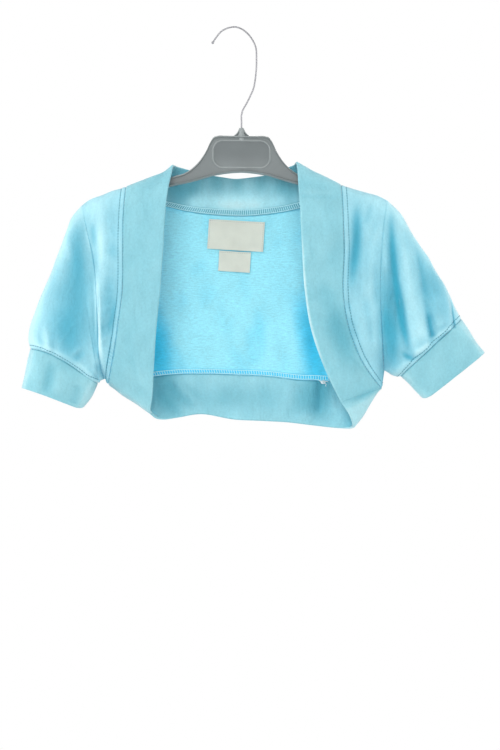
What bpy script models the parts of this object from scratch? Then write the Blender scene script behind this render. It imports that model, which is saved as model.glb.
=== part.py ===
"""A child's cropped cardigan on its hanger, one closed solid for each piece that is cut and sewn.

Lengths here are in millimetres, and the meshes are made in metres. X runs to the right as seen
from the front, -Y is the front and +Z is up. The origin is the underside of the hook's bend,
where it sits on a rail. Left and right are the viewer's.

Each cloth piece is a wall of even thickness about a middle surface. The middle surfaces are
grids spanned between seam curves that neighbouring pieces share, so that a seam is one curve
with the same samples on both sides, and each wall stops half a seam gap short of it.
"""

import math
from collections import namedtuple

import bmesh
import bpy
import numpy as np
from mathutils import Vector
from mathutils.bvhtree import BVHTree

MM = 0.001

# Cloth
PANEL_WALL = 1.6
BAND_WALL = 2.6
LABEL_WALL = 1.0
SEAM_GAP = 0.3
FOLDED_EDGE = 0.9

# Samples along the shared seams
FRONT_ROWS = 20
BACK_ROWS = 16
SIDE_ROWS = 2
RIDGE_STEPS = 8
NECK_STEPS = 18
SLEEVE_RINGS = 12
CUFF_RINGS = 3
BAND_STEPS = 4
NORMAL_ROUNDS = 3
SHARP_ANGLE = 50.0

FRONT = -1
BACK = 1

Station = namedtuple("Station", "seam_x seam_y seam_z edge_x edge_y edge_z bow")
Ring = namedtuple("Ring", "at top_x top_z low_x low_z front back bow")
Roll = namedtuple("Roll", "at out forward")
Fold = namedtuple("Fold", "side path width depth")

# The neck band, from the left side up over the shoulders and down to the right side. Each row
# is a section across the band, from the seam that joins it to the body to its folded edge; bow
# is how far its outer part stands out from the straight line between them.
NECK_BAND = [
    Station(-126.0, 2.0, -356.0, -84.5, 4.0, -385.0, 0.0),
    Station(-125.0, -8.0, -351.0, -85.0, -9.0, -381.0, 0.0),
    Station(-122.5, -15.0, -339.0, -82.5, -18.0, -365.0, 0.5),
    Station(-119.0, -19.8, -322.0, -81.0, -22.0, -336.0, 1.0),
    Station(-115.0, -22.6, -295.0, -78.5, -25.0, -300.0, 1.0),
    Station(-111.0, -23.6, -262.0, -75.0, -26.5, -264.0, 1.0),
    Station(-110.5, -22.7, -225.0, -72.0, -25.5, -224.0, 1.0),
    Station(-110.5, -18.6, -192.0, -69.5, -21.5, -183.0, 0.5),
    Station(-109.2, -12.5, -171.0, -66.5, -15.5, -158.0, -0.5),
    Station(-108.6, -6.8, -162.4, -64.0, -8.5, -145.0, -2.0),
    Station(-108.3, 0.0, -159.6, -63.0, -1.0, -138.0, -2.5),
    Station(-105.0, 8.0, -163.5, -59.0, 8.5, -138.5, -1.5),
    Station(-95.0, 12.5, -170.0, -50.0, 15.0, -140.5, -0.5),
    Station(-72.0, 17.0, -176.5, -35.0, 21.0, -144.0, 0.5),
    Station(-45.0, 19.5, -182.5, -18.0, 25.0, -147.0, 1.0),
    Station(-5.0, 20.5, -186.5, 2.0, 26.0, -149.2, 1.0),
    Station(27.0, 20.0, -185.5, 25.0, 24.5, -147.0, 1.0),
    Station(63.0, 17.0, -179.3, 45.0, 19.0, -142.5, 0.5),
    Station(90.0, 12.5, -169.5, 55.0, 13.0, -138.5, 0.0),
    Station(102.0, 8.2, -161.5, 60.0, 8.5, -136.8, 0.0),
    Station(105.5, 0.0, -157.8, 62.0, 0.0, -135.2, 0.0),
    Station(106.0, -6.8, -160.3, 63.0, -8.0, -142.0, 0.0),
    Station(106.5, -12.5, -170.0, 64.0, -15.0, -157.0, 0.0),
    Station(107.2, -18.7, -190.0, 65.5, -21.5, -180.0, 0.5),
    Station(108.2, -22.6, -225.0, 67.5, -25.5, -222.0, 1.0),
    Station(106.8, -24.1, -262.0, 70.0, -26.5, -262.0, 1.0),
    Station(110.5, -23.8, -292.0, 75.5, -26.5, -298.0, 1.0),
    Station(118.8, -21.6, -318.5, 84.5, -25.5, -327.0, 1.0),
    Station(125.5, -18.6, -333.0, 95.0, -23.5, -352.0, 1.0),
    Station(133.5, -13.0, -345.5, 101.0, -21.5, -364.0, 0.5),
    Station(145.5, -2.0, -359.5, 106.0, -19.5, -373.5, 0.0),
]
LEFT_SIDE = 0
LEFT_NECK = 10
RIGHT_NECK = 20
RIGHT_SIDE = 30

# The hem band, from the right side round the back to the left side.
HEM_BAND = [
    Station(145.5, -2.0, -359.5, 106.0, -19.5, -373.5, 0.0),
    Station(147.0, 4.0, -359.5, 115.0, -13.0, -387.5, 0.5),
    Station(145.0, 10.0, -358.8, 118.5, -3.0, -397.5, 1.0),
    Station(137.0, 16.0, -357.5, 118.0, 8.0, -399.5, 0.5),
    Station(112.0, 19.5, -354.0, 104.0, 18.0, -399.5, 0.0),
    Station(87.0, 21.5, -352.8, 80.0, 22.0, -397.0, 0.0),
    Station(65.0, 22.0, -352.0, 55.0, 23.0, -394.0, 0.0),
    Station(35.0, 23.0, -348.5, 30.0, 23.0, -392.5, 0.0),
    Station(5.0, 23.0, -347.0, 0.0, 22.5, -391.0, 0.0),
    Station(-35.0, 22.0, -345.8, -35.0, 21.5, -385.5, 0.0),
    Station(-70.0, 20.0, -347.0, -58.0, 20.0, -389.0, 0.0),
    Station(-95.0, 16.0, -350.5, -73.0, 17.0, -391.0, 0.0),
    Station(-115.0, 10.5, -354.2, -80.5, 11.5, -389.5, 0.5),
    Station(-126.0, 2.0, -356.0, -84.5, 4.0, -385.0, 0.0),
]
HEM_RIGHT_TURN = 4
HEM_LEFT_TURN = 10

# The shoulder ridges, from the neck band's seam to the tip of the shoulder.
RIDGE_LEFT = [(-108.3, 0.0, -159.6), (-131.0, 0.0, -166.7), (-145.0, 0.0, -172.6), (-152.5, 0.0, -178.0)]
RIDGE_RIGHT = [(105.5, 0.0, -157.8), (121.0, 0.0, -162.3), (137.0, 0.0, -167.0), (151.5, 0.0, -172.6)]

# The armhole seams, from the tip of the shoulder to the armpit.
ARMHOLE_LEFT_FRONT = [
    (-152.5, 0.0, -178.0), (-151.5, -6.5, -183.5), (-147.0, -11.0, -203.0), (-140.0, -14.5, -234.0),
    (-137.0, -15.0, -268.0), (-136.0, -14.0, -302.0), (-134.0, -10.0, -334.0), (-130.5, 0.0, -350.5),
]
ARMHOLE_LEFT_BACK = [
    (-152.5, 0.0, -178.0), (-151.5, 6.5, -183.5), (-147.0, 12.0, -205.0), (-142.0, 16.0, -240.0),
    (-139.0, 17.0, -275.0), (-137.5, 15.5, -308.0), (-135.0, 10.0, -337.0), (-130.5, 0.0, -350.5),
]
ARMHOLE_RIGHT_FRONT = [
    (151.5, 0.0, -172.6), (151.0, -6.5, -178.0), (148.0, -12.0, -198.0), (145.5, -16.0, -228.0),
    (144.5, -17.5, -262.0), (145.5, -16.0, -293.0), (147.5, -10.0, -323.0), (148.5, 0.0, -341.0),
]
ARMHOLE_RIGHT_BACK = [
    (151.5, 0.0, -172.6), (151.0, 6.5, -178.0), (148.5, 12.0, -200.0), (146.0, 17.0, -235.0),
    (145.5, 18.0, -268.0), (146.5, 16.0, -300.0), (148.0, 10.0, -326.0), (148.5, 0.0, -341.0),
]

# Sections of the sleeves from the armhole (at 0) to the cuff's seam (at 1): the top and the
# underarm of each, how deep it stands to the front and the back, and how far its middle bows up.
SLEEVE_LEFT = [
    Ring(0.12, -161.0, -187.5, -135.5, -353.0, 16.0, 17.0, 2.5),
    Ring(0.30, -169.0, -207.0, -136.0, -353.3, 21.0, 20.0, 3.0),
    Ring(0.50, -182.0, -242.0, -136.4, -353.6, 23.0, 21.0, 3.5),
    Ring(0.70, -197.3, -279.0, -136.8, -354.0, 23.0, 21.0, 4.0),
    Ring(0.87, -206.3, -309.0, -137.2, -354.3, 21.5, 20.0, 4.5),
    Ring(1.00, -204.5, -321.0, -137.6, -354.8, 18.5, 17.5, 5.0),
]
SLEEVE_RIGHT = [
    Ring(0.12, 162.0, -182.5, 154.0, -344.0, 16.0, 16.0, -2.0),
    Ring(0.30, 174.0, -202.5, 155.5, -345.0, 21.0, 20.0, -2.0),
    Ring(0.50, 191.0, -227.5, 157.5, -346.0, 23.0, 21.0, 0.0),
    Ring(0.70, 207.5, -256.0, 160.5, -347.0, 23.0, 21.0, 0.0),
    Ring(0.87, 218.5, -277.5, 163.0, -347.3, 21.5, 20.0, 0.0),
    Ring(1.00, 225.5, -291.8, 166.0, -346.5, 18.5, 17.5, 0.0),
]
# Sections of the cuffs below their seam, from just under it (above 0) to the open edge (at 1).
CUFF_LEFT = [
    Ring(0.50, -208.0, -340.5, -143.5, -366.5, 18.5, 17.5, 3.0),
    Ring(1.00, -211.6, -359.3, -153.0, -380.5, 17.5, 16.5, 1.0),
]
CUFF_RIGHT = [
    Ring(0.50, 236.5, -308.0, 176.5, -357.5, 18.5, 17.5, 0.0),
    Ring(1.00, 248.0, -324.6, 189.5, -370.8, 17.5, 16.5, 0.0),
]
RING_SQUARENESS = 2.3
# A section's bow is stronger near its top than near the underarm.
BOW_HIGH = 1.6
BOW_LOW = 0.4

# How far the left front rolls out over its armhole seam, down its length.
ROLL_LEFT = [Roll(0.0, 0.0, 0.0), Roll(0.3, 0.0, 3.0), Roll(0.5, 3.5, 7.0), Roll(0.72, 4.5, 7.5),
             Roll(0.85, 1.5, 3.5), Roll(0.93, 0.0, 0.8), Roll(1.0, 0.0, 0.0)]
ROLL_CREST = 0.72
ROLL_WIDTH = 0.30

# The largest folds, as the paths of their middles seen from the front; a trough's depth is
# below zero and a ridge's above.
FOLDS = [
    Fold(FRONT, [(-152, -190), (-154, -242), (-158, -275), (-160, -318)], 9.0, -6.0),
    Fold(FRONT, [(-163, -215), (-172, -260), (-178, -300)], 9.0, 2.5),
    Fold(FRONT, [(-186, -298), (-184, -319)], 4.5, -3.0),
    Fold(FRONT, [(-156, -312), (-156, -333)], 4.0, -3.0),
    Fold(FRONT, [(153, -187), (157, -235), (158, -282), (164, -338)], 7.0, -7.0),
    Fold(FRONT, [(165, -202), (173, -250), (176, -295), (173, -325)], 8.0, 3.0),
    Fold(FRONT, [(186, -305), (180, -334)], 4.5, -3.5),
    Fold(FRONT, [(192, -292), (195, -318)], 4.5, -3.5),
    Fold(BACK, [(-153, -195), (-156, -245), (-160, -280), (-160, -325)], 9.0, -5.0),
    Fold(BACK, [(-187, -295), (-184, -322)], 4.5, -3.0),
    Fold(BACK, [(154, -190), (158, -240), (163, -290), (168, -338)], 8.0, -5.0),
    Fold(BACK, [(190, -288), (192, -320)], 4.5, -3.0),
    Fold(BACK, [(214, -272), (219, -296)], 4.5, -3.5),
    Fold(FRONT, [(118, -190), (119, -225), (116, -252), (112, -275)], 6.0, -2.5),
    Fold(FRONT, [(134, -192), (135, -235), (131, -285)], 8.0, 2.0),
    Fold(BACK, [(74, -352), (70, -398)], 5.0, -2.5),
    Fold(BACK, [(92, -352), (90, -400)], 5.0, 2.0),
    Fold(BACK, [(-78, -356), (-46, -388)], 5.0, -2.0),
    Fold(BACK, [(-60, -352), (-28, -384)], 5.0, 1.5),
]
FOLD_FADE = 0.3
BOW_PEAK = 27 / 4

# How the back hangs from the shoulders: round over the hanger, then slowly further out.
ROOF_RADIUS = 7.0
BODY_DEPTH = 22.0
BODY_SPREAD = 45.0
SIDE_REACH = 0.28

# The labels inside the back neck: middle, size and tilt as seen from the front.
LABEL_MIDDLE = (0.9, -206.2)
LABEL_SIZE = (56.5, 30.0)
SIZE_LABEL_MIDDLE = (-0.6, -232.6)
SIZE_LABEL_SIZE = (32.0, 20.5)
LABEL_TILT = math.radians(-3.4)
LABEL_STEPS = (8, 4)

# The hanger. Its outline is symmetrical about the stem of the hook.
STEM_X = 6.5
HANGER_HALF_THICK = 5.0
HANGER_ROUNDING = 2.4
HANGER_TILT = math.radians(-0.6)
HangerSection = namedtuple("HangerSection", "out top low")
HANGER_OUTLINE = [
    HangerSection(0.0, -108.2, -144.5), HangerSection(14.0, -108.2, -145.6), HangerSection(24.0, -108.4, -147.2),
    HangerSection(28.0, -110.0, -148.0), HangerSection(31.0, -114.5, -149.0), HangerSection(35.0, -123.0, -150.2),
    HangerSection(41.0, -132.5, -152.0), HangerSection(48.0, -140.0, -154.0), HangerSection(56.0, -145.6, -156.0),
    HangerSection(66.0, -148.8, -158.2), HangerSection(78.0, -152.0, -161.6), HangerSection(92.0, -157.6, -167.2),
    HangerSection(104.0, -162.8, -172.2), HangerSection(116.0, -167.8, -177.0), HangerSection(126.0, -172.2, -181.0),
    HangerSection(131.0, -175.0, -182.2), HangerSection(134.0, -177.6, -181.6),
]
PAD_SIZE = (57.0, 27.0)
PAD_MIDDLE_Z = -126.5
PAD_ROUNDING = 10.0
PAD_RAISED = 0.8
BOSS_TOP_Z = -100.0
BOSS_RADIUS = 4.6
BOSS_TOP_RADIUS = 2.9
HOOK_SOCKET_DEPTH = 6.0
WIRE_RADIUS = 1.1
HOOK_TIP_RADIUS = 1.7
HOOK_PATH = [
    (-22.9, -15.8), (-18.0, -8.4), (-13.5, -3.3), (-8.0, -0.3), (-3.3, 0.9), (0.0, 1.1), (3.7, 0.3), (12.0, -5.0),
    (17.5, -12.0), (21.0, -20.5), (21.5, -29.4), (20.3, -51.0), (18.7, -60.0), (15.2, -68.3), (11.3, -76.0),
    (7.5, -83.0), (6.5, -87.4), (6.5, -94.0), (6.5, -105.5),
]
HOOK_POINTS = 60

# Colours, linear
CLOTH_BLUE = (0.27, 0.66, 0.78)
LABEL_CREAM = (0.70, 0.74, 0.66)
PLASTIC_GREY = (0.20, 0.24, 0.25)
STEEL = (0.55, 0.55, 0.56)


def glide(knots, rows, places):
    """Read a smooth curve through rows, one row of points at each knot, at the given places."""
    knots = np.asarray(knots, float)
    rows = np.asarray(rows, float)
    places = np.asarray(places, float)
    steps = np.diff(knots).reshape((-1,) + (1,) * (rows.ndim - 1))
    chords = np.diff(rows, axis=0) / steps
    slopes = np.concatenate([chords[:1], chords])
    slopes[1:-1] = (chords[:-1] * steps[1:] + chords[1:] * steps[:-1]) / (steps[:-1] + steps[1:])
    slopes[0] = 1.5 * chords[0] - 0.5 * slopes[1]
    slopes[-1] = 1.5 * chords[-1] - 0.5 * slopes[-2]
    span = np.clip(np.searchsorted(knots, places, side="right") - 1, 0, len(knots) - 2)
    width = np.diff(knots)[span]
    t = ((places - knots[span]) / width).reshape((-1,) + (1,) * (rows.ndim - 1))
    width = width.reshape(t.shape)
    return ((1 + 2 * t) * (1 - t) ** 2 * rows[span] + t * (1 - t) ** 2 * width * slopes[span]
            + t * t * (3 - 2 * t) * rows[span + 1] + t * t * (t - 1) * width * slopes[span + 1])


def knots_of(rows):
    """Distances along a list of points, or the mean distances along a list of sections."""
    steps = np.linalg.norm(np.diff(np.asarray(rows, float), axis=0), axis=-1)
    while steps.ndim > 1:
        steps = steps.mean(axis=-1)
    return np.concatenate([[0.0], np.cumsum(steps)])


def crowded(count, crowding):
    """Fractions from 0 to 1 in count steps, closer together towards both ends."""
    even = np.linspace(0.0, 1.0, count + 1)
    rounded = (1 - np.cos(math.pi * even)) / 2
    return even + (rounded - even) * crowding


def curve(points, count, crowding=0.0):
    """A smooth curve through points, in count steps."""
    knots = knots_of(points)
    return glide(knots, points, crowded(count, crowding) * knots[-1])


def smooth_step(value):
    value = np.clip(value, 0.0, 1.0)
    return value * value * (3 - 2 * value)


def band_sections(stations, stretches):
    """Seam and edge points of a band, and its bow; stretches are (first, last, steps, crowding)."""
    table = np.array(stations)
    rows = table[:, :6].reshape((-1, 2, 3))
    knots = knots_of(rows)
    places = [knots[stretches[0][0]]]
    for first, last, steps, crowding in stretches:
        span = knots[last] - knots[first]
        places.extend(knots[first] + crowded(steps, crowding)[1:] * span)
    return glide(knots, rows, places), glide(knots, table[:, 6], places)


def spanned(top, bottom, left, right):
    """A grid between four curves that meet at their ends; rows run from top to bottom."""
    down = np.linspace(0, 1, len(left))[:, None, None]
    across = np.linspace(0, 1, len(top))[None, :, None]
    corners = ((1 - down) * ((1 - across) * top[0] + across * top[-1])
               + down * ((1 - across) * bottom[0] + across * bottom[-1]))
    return ((1 - down) * top[None] + down * bottom[None]
            + (1 - across) * left[:, None] + across * right[:, None] - corners)


def front_panel(ridge, band_seam, armhole, rolls):
    """A front, from the band's seam across to the armhole, with its outer part rolled over."""
    side = band_seam[-1] + np.linspace(0, 1, len(ridge))[:, None] * (armhole[-1] - band_seam[-1])
    grid = spanned(ridge, side, band_seam, armhole)
    across = np.linspace(0, 1, len(ridge))[None, :]
    down = np.linspace(0, 1, len(armhole))[:, None]
    if rolls:
        roll = glide([row.at for row in rolls], [(row.out, row.forward) for row in rolls], down.ravel())
        crest = np.exp(-((across - ROLL_CREST) / ROLL_WIDTH) ** 2) * across * (1 - across) * 4
        outward = np.sign(armhole[0][0] - ridge[0][0])
        grid[:, :, 0] += outward * roll[:, :1] * crest
        grid[:, :, 1] -= roll[:, 1:] * crest
    return grid


def back_depth(below, start):
    """How far back the cloth lies, at a distance below where it starts at the given depth."""
    near = np.clip(below / ROOF_RADIUS, 0, 1)
    roof = ROOF_RADIUS * np.sqrt(1 - (1 - near) ** 2)
    far = np.clip(below - ROOF_RADIUS, 0, None)
    depth = roof + (BODY_DEPTH - ROOF_RADIUS) * (1 - np.exp(-far / BODY_SPREAD))
    return start + (BODY_DEPTH - start) * depth / BODY_DEPTH


def back_panel(top, hem_seam, left, right):
    """The back. Its depth follows the shoulders, and eases into the side and hem seams."""
    grid = spanned(top, hem_seam, left, right)
    across = np.linspace(0, 1, len(top))[None, :]
    down = np.linspace(0, 1, len(left))[:, None]
    below = top[None, :, 2] - grid[:, :, 2]
    depth = back_depth(below, top[None, :, 1])
    near_left = 1 - smooth_step(across / SIDE_REACH)
    near_right = 1 - smooth_step((1 - across) / SIDE_REACH)
    from_left = left[:, None, 1] - depth[:, :1]
    from_right = right[:, None, 1] - depth[:, -1:]
    from_hem = hem_seam[None, :, 1] - depth[-1:, :]
    from_hem = from_hem - near_left * from_left[-1] - near_right * from_right[-1]
    grid[:, :, 1] = depth + near_left * from_left + near_right * from_right + down ** 2 * from_hem
    return grid


def ring_points(ring, front_fractions, back_fractions):
    """Points round one section of a sleeve: down its front from the top, and up its back."""
    top = np.array([ring.top_x, 0.0, ring.top_z])
    low = np.array([ring.low_x, 0.0, ring.low_z])
    drop = low - top
    sideways = np.array([-drop[2], 0.0, drop[0]]) / np.linalg.norm(drop)
    if sideways[2] < 0:
        sideways = -sideways

    def half(fractions, depth):
        s = fractions[:, None]
        bulge = (1 - np.abs(2 * s - 1) ** RING_SQUARENESS) ** (1 / RING_SQUARENESS)
        bow = ring.bow * 4 * s * (1 - s) * (BOW_HIGH - (BOW_HIGH - BOW_LOW) * s)
        return top + drop * s + sideways * bow + np.array([0.0, depth, 0.0]) * bulge

    front = half(front_fractions, -ring.front)
    back = half(back_fractions[::-1], ring.back)
    return np.concatenate([front, back[1:-1]])


def tube(first_ring, sections, steps, front_fractions, back_fractions, crowding=0.0):
    """Rings from a given first ring through the sections of a table."""
    rings = [first_ring] + [ring_points(row, front_fractions, back_fractions) for row in sections]
    knots = [0.0] + [row.at for row in sections]
    return glide(knots, rings, crowded(steps, crowding))


class Sheet:
    """The middle surface of one cloth piece, and which of its four sides are sewn."""

    def __init__(self, name, grid, wall, sewn, closed=False, folded="", stand_out=0.0):
        self.name = name
        self.grid = grid
        self.stand_out = stand_out
        self.wall = wall
        self.sewn = sewn.split()
        self.closed = closed
        self.folded = folded

    def rows(self):
        return self.grid.shape[0]

    def columns(self):
        return self.grid.shape[1]

    def quads(self):
        """Grid places of each quad's corners."""
        across = self.columns() if self.closed else self.columns() - 1
        for i in range(self.rows() - 1):
            for j in range(across):
                k = (j + 1) % self.columns()
                yield (i, j), (i, k), (i + 1, k), (i + 1, j)


def place_key(point):
    return tuple(np.round(point * 100).astype(int))


def shared_normals(sheets):
    """Normals at every grid point, the same on both sides of a seam."""
    sums = {}
    for sheet in sheets:
        grid = sheet.grid
        for a, b, c, d in sheet.quads():
            normal = np.cross(grid[c] - grid[a], grid[d] - grid[b]) * sheet.turn
            for corner in (a, b, c, d):
                key = place_key(grid[corner])
                sums[key] = sums.get(key, 0) + normal
    for sheet in sheets:
        normals = np.empty_like(sheet.grid)
        for i in range(sheet.rows()):
            for j in range(sheet.columns()):
                total = sums[place_key(sheet.grid[i, j])]
                normals[i, j] = total / max(np.linalg.norm(total), 1e-9)
        sheet.normals = normals


def soften_normals(sheets, rounds):
    """Mix each normal with its neighbours', across seams too, so close walls don't cross."""
    for _ in range(rounds):
        sums = {}
        for sheet in sheets:
            grid, normals = sheet.grid, sheet.normals
            for corners in sheet.quads():
                total = sum(normals[corner] for corner in corners)
                for corner in corners:
                    key = place_key(grid[corner])
                    sums[key] = sums.get(key, 0) + total
        for sheet in sheets:
            normals = np.empty_like(sheet.normals)
            for i in range(sheet.rows()):
                for j in range(sheet.columns()):
                    total = sums[place_key(sheet.grid[i, j])]
                    normals[i, j] = total / np.linalg.norm(total)
            sheet.normals = normals


def face_outward(sheet, inside):
    """Set which way round the sheet's grid is, from a point or points that it encloses."""
    grid = sheet.grid
    total = 0.0
    for a, b, c, d in sheet.quads():
        middle = (grid[a] + grid[b] + grid[c] + grid[d]) / 4
        total += np.dot(np.cross(grid[c] - grid[a], grid[d] - grid[b]), middle - inside(middle))
    sheet.turn = 1 if total > 0 else -1


def fold_offset(fold, points, normals):
    """How far a fold moves each point along its normal."""
    path = curve([(x, 0.0, z) for x, z in fold.path], 16)[:, [0, 2]]
    flat = points[..., [0, 2]]
    best = np.full(flat.shape[:-1], np.inf)
    along = np.zeros(flat.shape[:-1])
    steps = np.linalg.norm(np.diff(path, axis=0), axis=1)
    lengths = np.concatenate([[0.0], np.cumsum(steps)]) / steps.sum()
    for k in range(len(path) - 1):
        step = path[k + 1] - path[k]
        t = np.clip(((flat - path[k]) @ step) / (step @ step), 0, 1)
        gap = np.linalg.norm(flat - path[k] - t[..., None] * step, axis=-1)
        closer = gap < best
        best = np.where(closer, gap, best)
        along = np.where(closer, lengths[k] + t * (lengths[k + 1] - lengths[k]), along)
    fade = smooth_step(along / FOLD_FADE) * smooth_step((1 - along) / FOLD_FADE)
    faces_side = smooth_step(normals[..., 1] * fold.side * 1.5)
    return fold.depth * np.exp(-(best / fold.width) ** 2) * fade * faces_side


def press_folds(sheets, folds):
    """Move every sheet's points by the folds. Shared seam points move alike on both sides."""
    for sheet in sheets:
        total = sum(fold_offset(fold, sheet.grid, sheet.normals) for fold in folds) + sheet.stand_out
        sheet.grid = sheet.grid + sheet.normals * total[..., None]


def stop_short(sheet):
    """Draw each sewn side back from its seam by half the gap, along the cloth."""
    moved = sheet.grid.copy()
    grid = sheet.grid
    sides = {
        "first_row": (0, 1, 0), "last_row": (-1, -2, 0),
        "first_column": (0, 1, 1), "last_column": (-1, -2, 1),
    }
    for side in sheet.sewn:
        edge, inner, axis = sides[side]
        seam = grid[edge] if axis == 0 else grid[:, edge]
        inward = (grid[inner] if axis == 0 else grid[:, inner]) - seam
        normals = sheet.normals[edge] if axis == 0 else sheet.normals[:, edge]
        if sheet.closed:
            along = np.roll(seam, -1, axis=0) - np.roll(seam, 1, axis=0)
        else:
            along = np.gradient(seam, axis=0)
        away = np.cross(normals, along)
        away /= np.linalg.norm(away, axis=1, keepdims=True)
        away *= np.sign(np.sum(away * inward, axis=1, keepdims=True))
        shift = away * SEAM_GAP / 2
        if axis == 0:
            moved[edge] += shift
        else:
            moved[:, edge] += shift
    return moved


def wall_mesh(sheet):
    """Vertices and faces of the closed wall about a sheet.

    The rims are cut in triangles, each pair the same way on both sides of a seam.
    """
    middle = stop_short(sheet)
    half = sheet.normals * sheet.wall / 2
    rows, columns = sheet.rows(), sheet.columns()
    layers = [middle + half, middle - half]
    vertices = np.concatenate([layer.reshape((-1, 3)) for layer in layers])

    def at(layer, place):
        return layer * rows * columns + place[0] * columns + place[1]

    faces = []
    for corners in sheet.quads():
        loop = [at(0, place) for place in corners]
        inner = [at(1, place) for place in corners]
        faces.append(loop if sheet.turn > 0 else loop[::-1])
        faces.append(inner[::-1] if sheet.turn > 0 else inner)

    rims = [("first_row", [(0, j) for j in range(columns)]),
            ("last_row", [(rows - 1, j) for j in range(columns)][::-1])]
    if sheet.closed:
        rims = [(name, rim + rim[:1]) for name, rim in rims]
    else:
        rims.append(("last_column", [(i, columns - 1) for i in range(rows)]))
        rims.append(("first_column", [(i, 0) for i in range(rows)][::-1]))
    vertices = list(vertices)
    for name, rim in rims:
        nose = {}
        if name == sheet.folded:
            for place in rim:
                if place not in nose:
                    inner_row = 1 if place[0] == 0 else rows - 2
                    outward = middle[place] - middle[inner_row, place[1]]
                    outward /= np.linalg.norm(outward)
                    nose[place] = len(vertices)
                    vertices.append(middle[place] + outward * FOLDED_EDGE)
        for a, b in zip(rim[:-1], rim[1:]):
            if nose:
                strips = [[at(0, a), nose[a], nose[b], at(0, b)], [nose[a], at(1, a), at(1, b), nose[b]]]
            elif place_key(sheet.grid[a]) < place_key(sheet.grid[b]):
                strips = [[at(0, a), at(1, a), at(1, b)], [at(0, a), at(1, b), at(0, b)]]
            else:
                strips = [[at(0, a), at(1, a), at(0, b)], [at(1, a), at(1, b), at(0, b)]]
            faces.extend(strip if sheet.turn > 0 else strip[::-1] for strip in strips)
        if nose and not sheet.closed:
            first, last = rim[0], rim[-1]
            ends = [[at(0, first), at(1, first), nose[first]], [at(0, last), nose[last], at(1, last)]]
            faces.extend(end if sheet.turn > 0 else end[::-1] for end in ends)
    return vertices, faces


def material(name, colour, roughness, metallic=0.0):
    made = bpy.data.materials.new(name)
    made.use_nodes = True
    shader = made.node_tree.nodes["Principled BSDF"]
    shader.inputs["Base Color"].default_value = (*colour, 1.0)
    shader.inputs["Roughness"].default_value = roughness
    shader.inputs["Metallic"].default_value = metallic
    made.diffuse_color = (*colour, 1.0)
    return made


def add_object(name, vertices, faces, made):
    """A mesh object from points in millimetres."""
    mesh = bpy.data.meshes.new(name)
    mesh.from_pydata([tuple(float(c) * MM for c in point) for point in vertices], [], faces)
    mesh.validate()
    mesh.update()
    mesh.shade_smooth()
    mesh.set_sharp_from_angle(angle=math.radians(SHARP_ANGLE))
    mesh.materials.append(made)
    obj = bpy.data.objects.new(name, mesh)
    bpy.context.scene.collection.objects.link(obj)
    return obj


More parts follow.
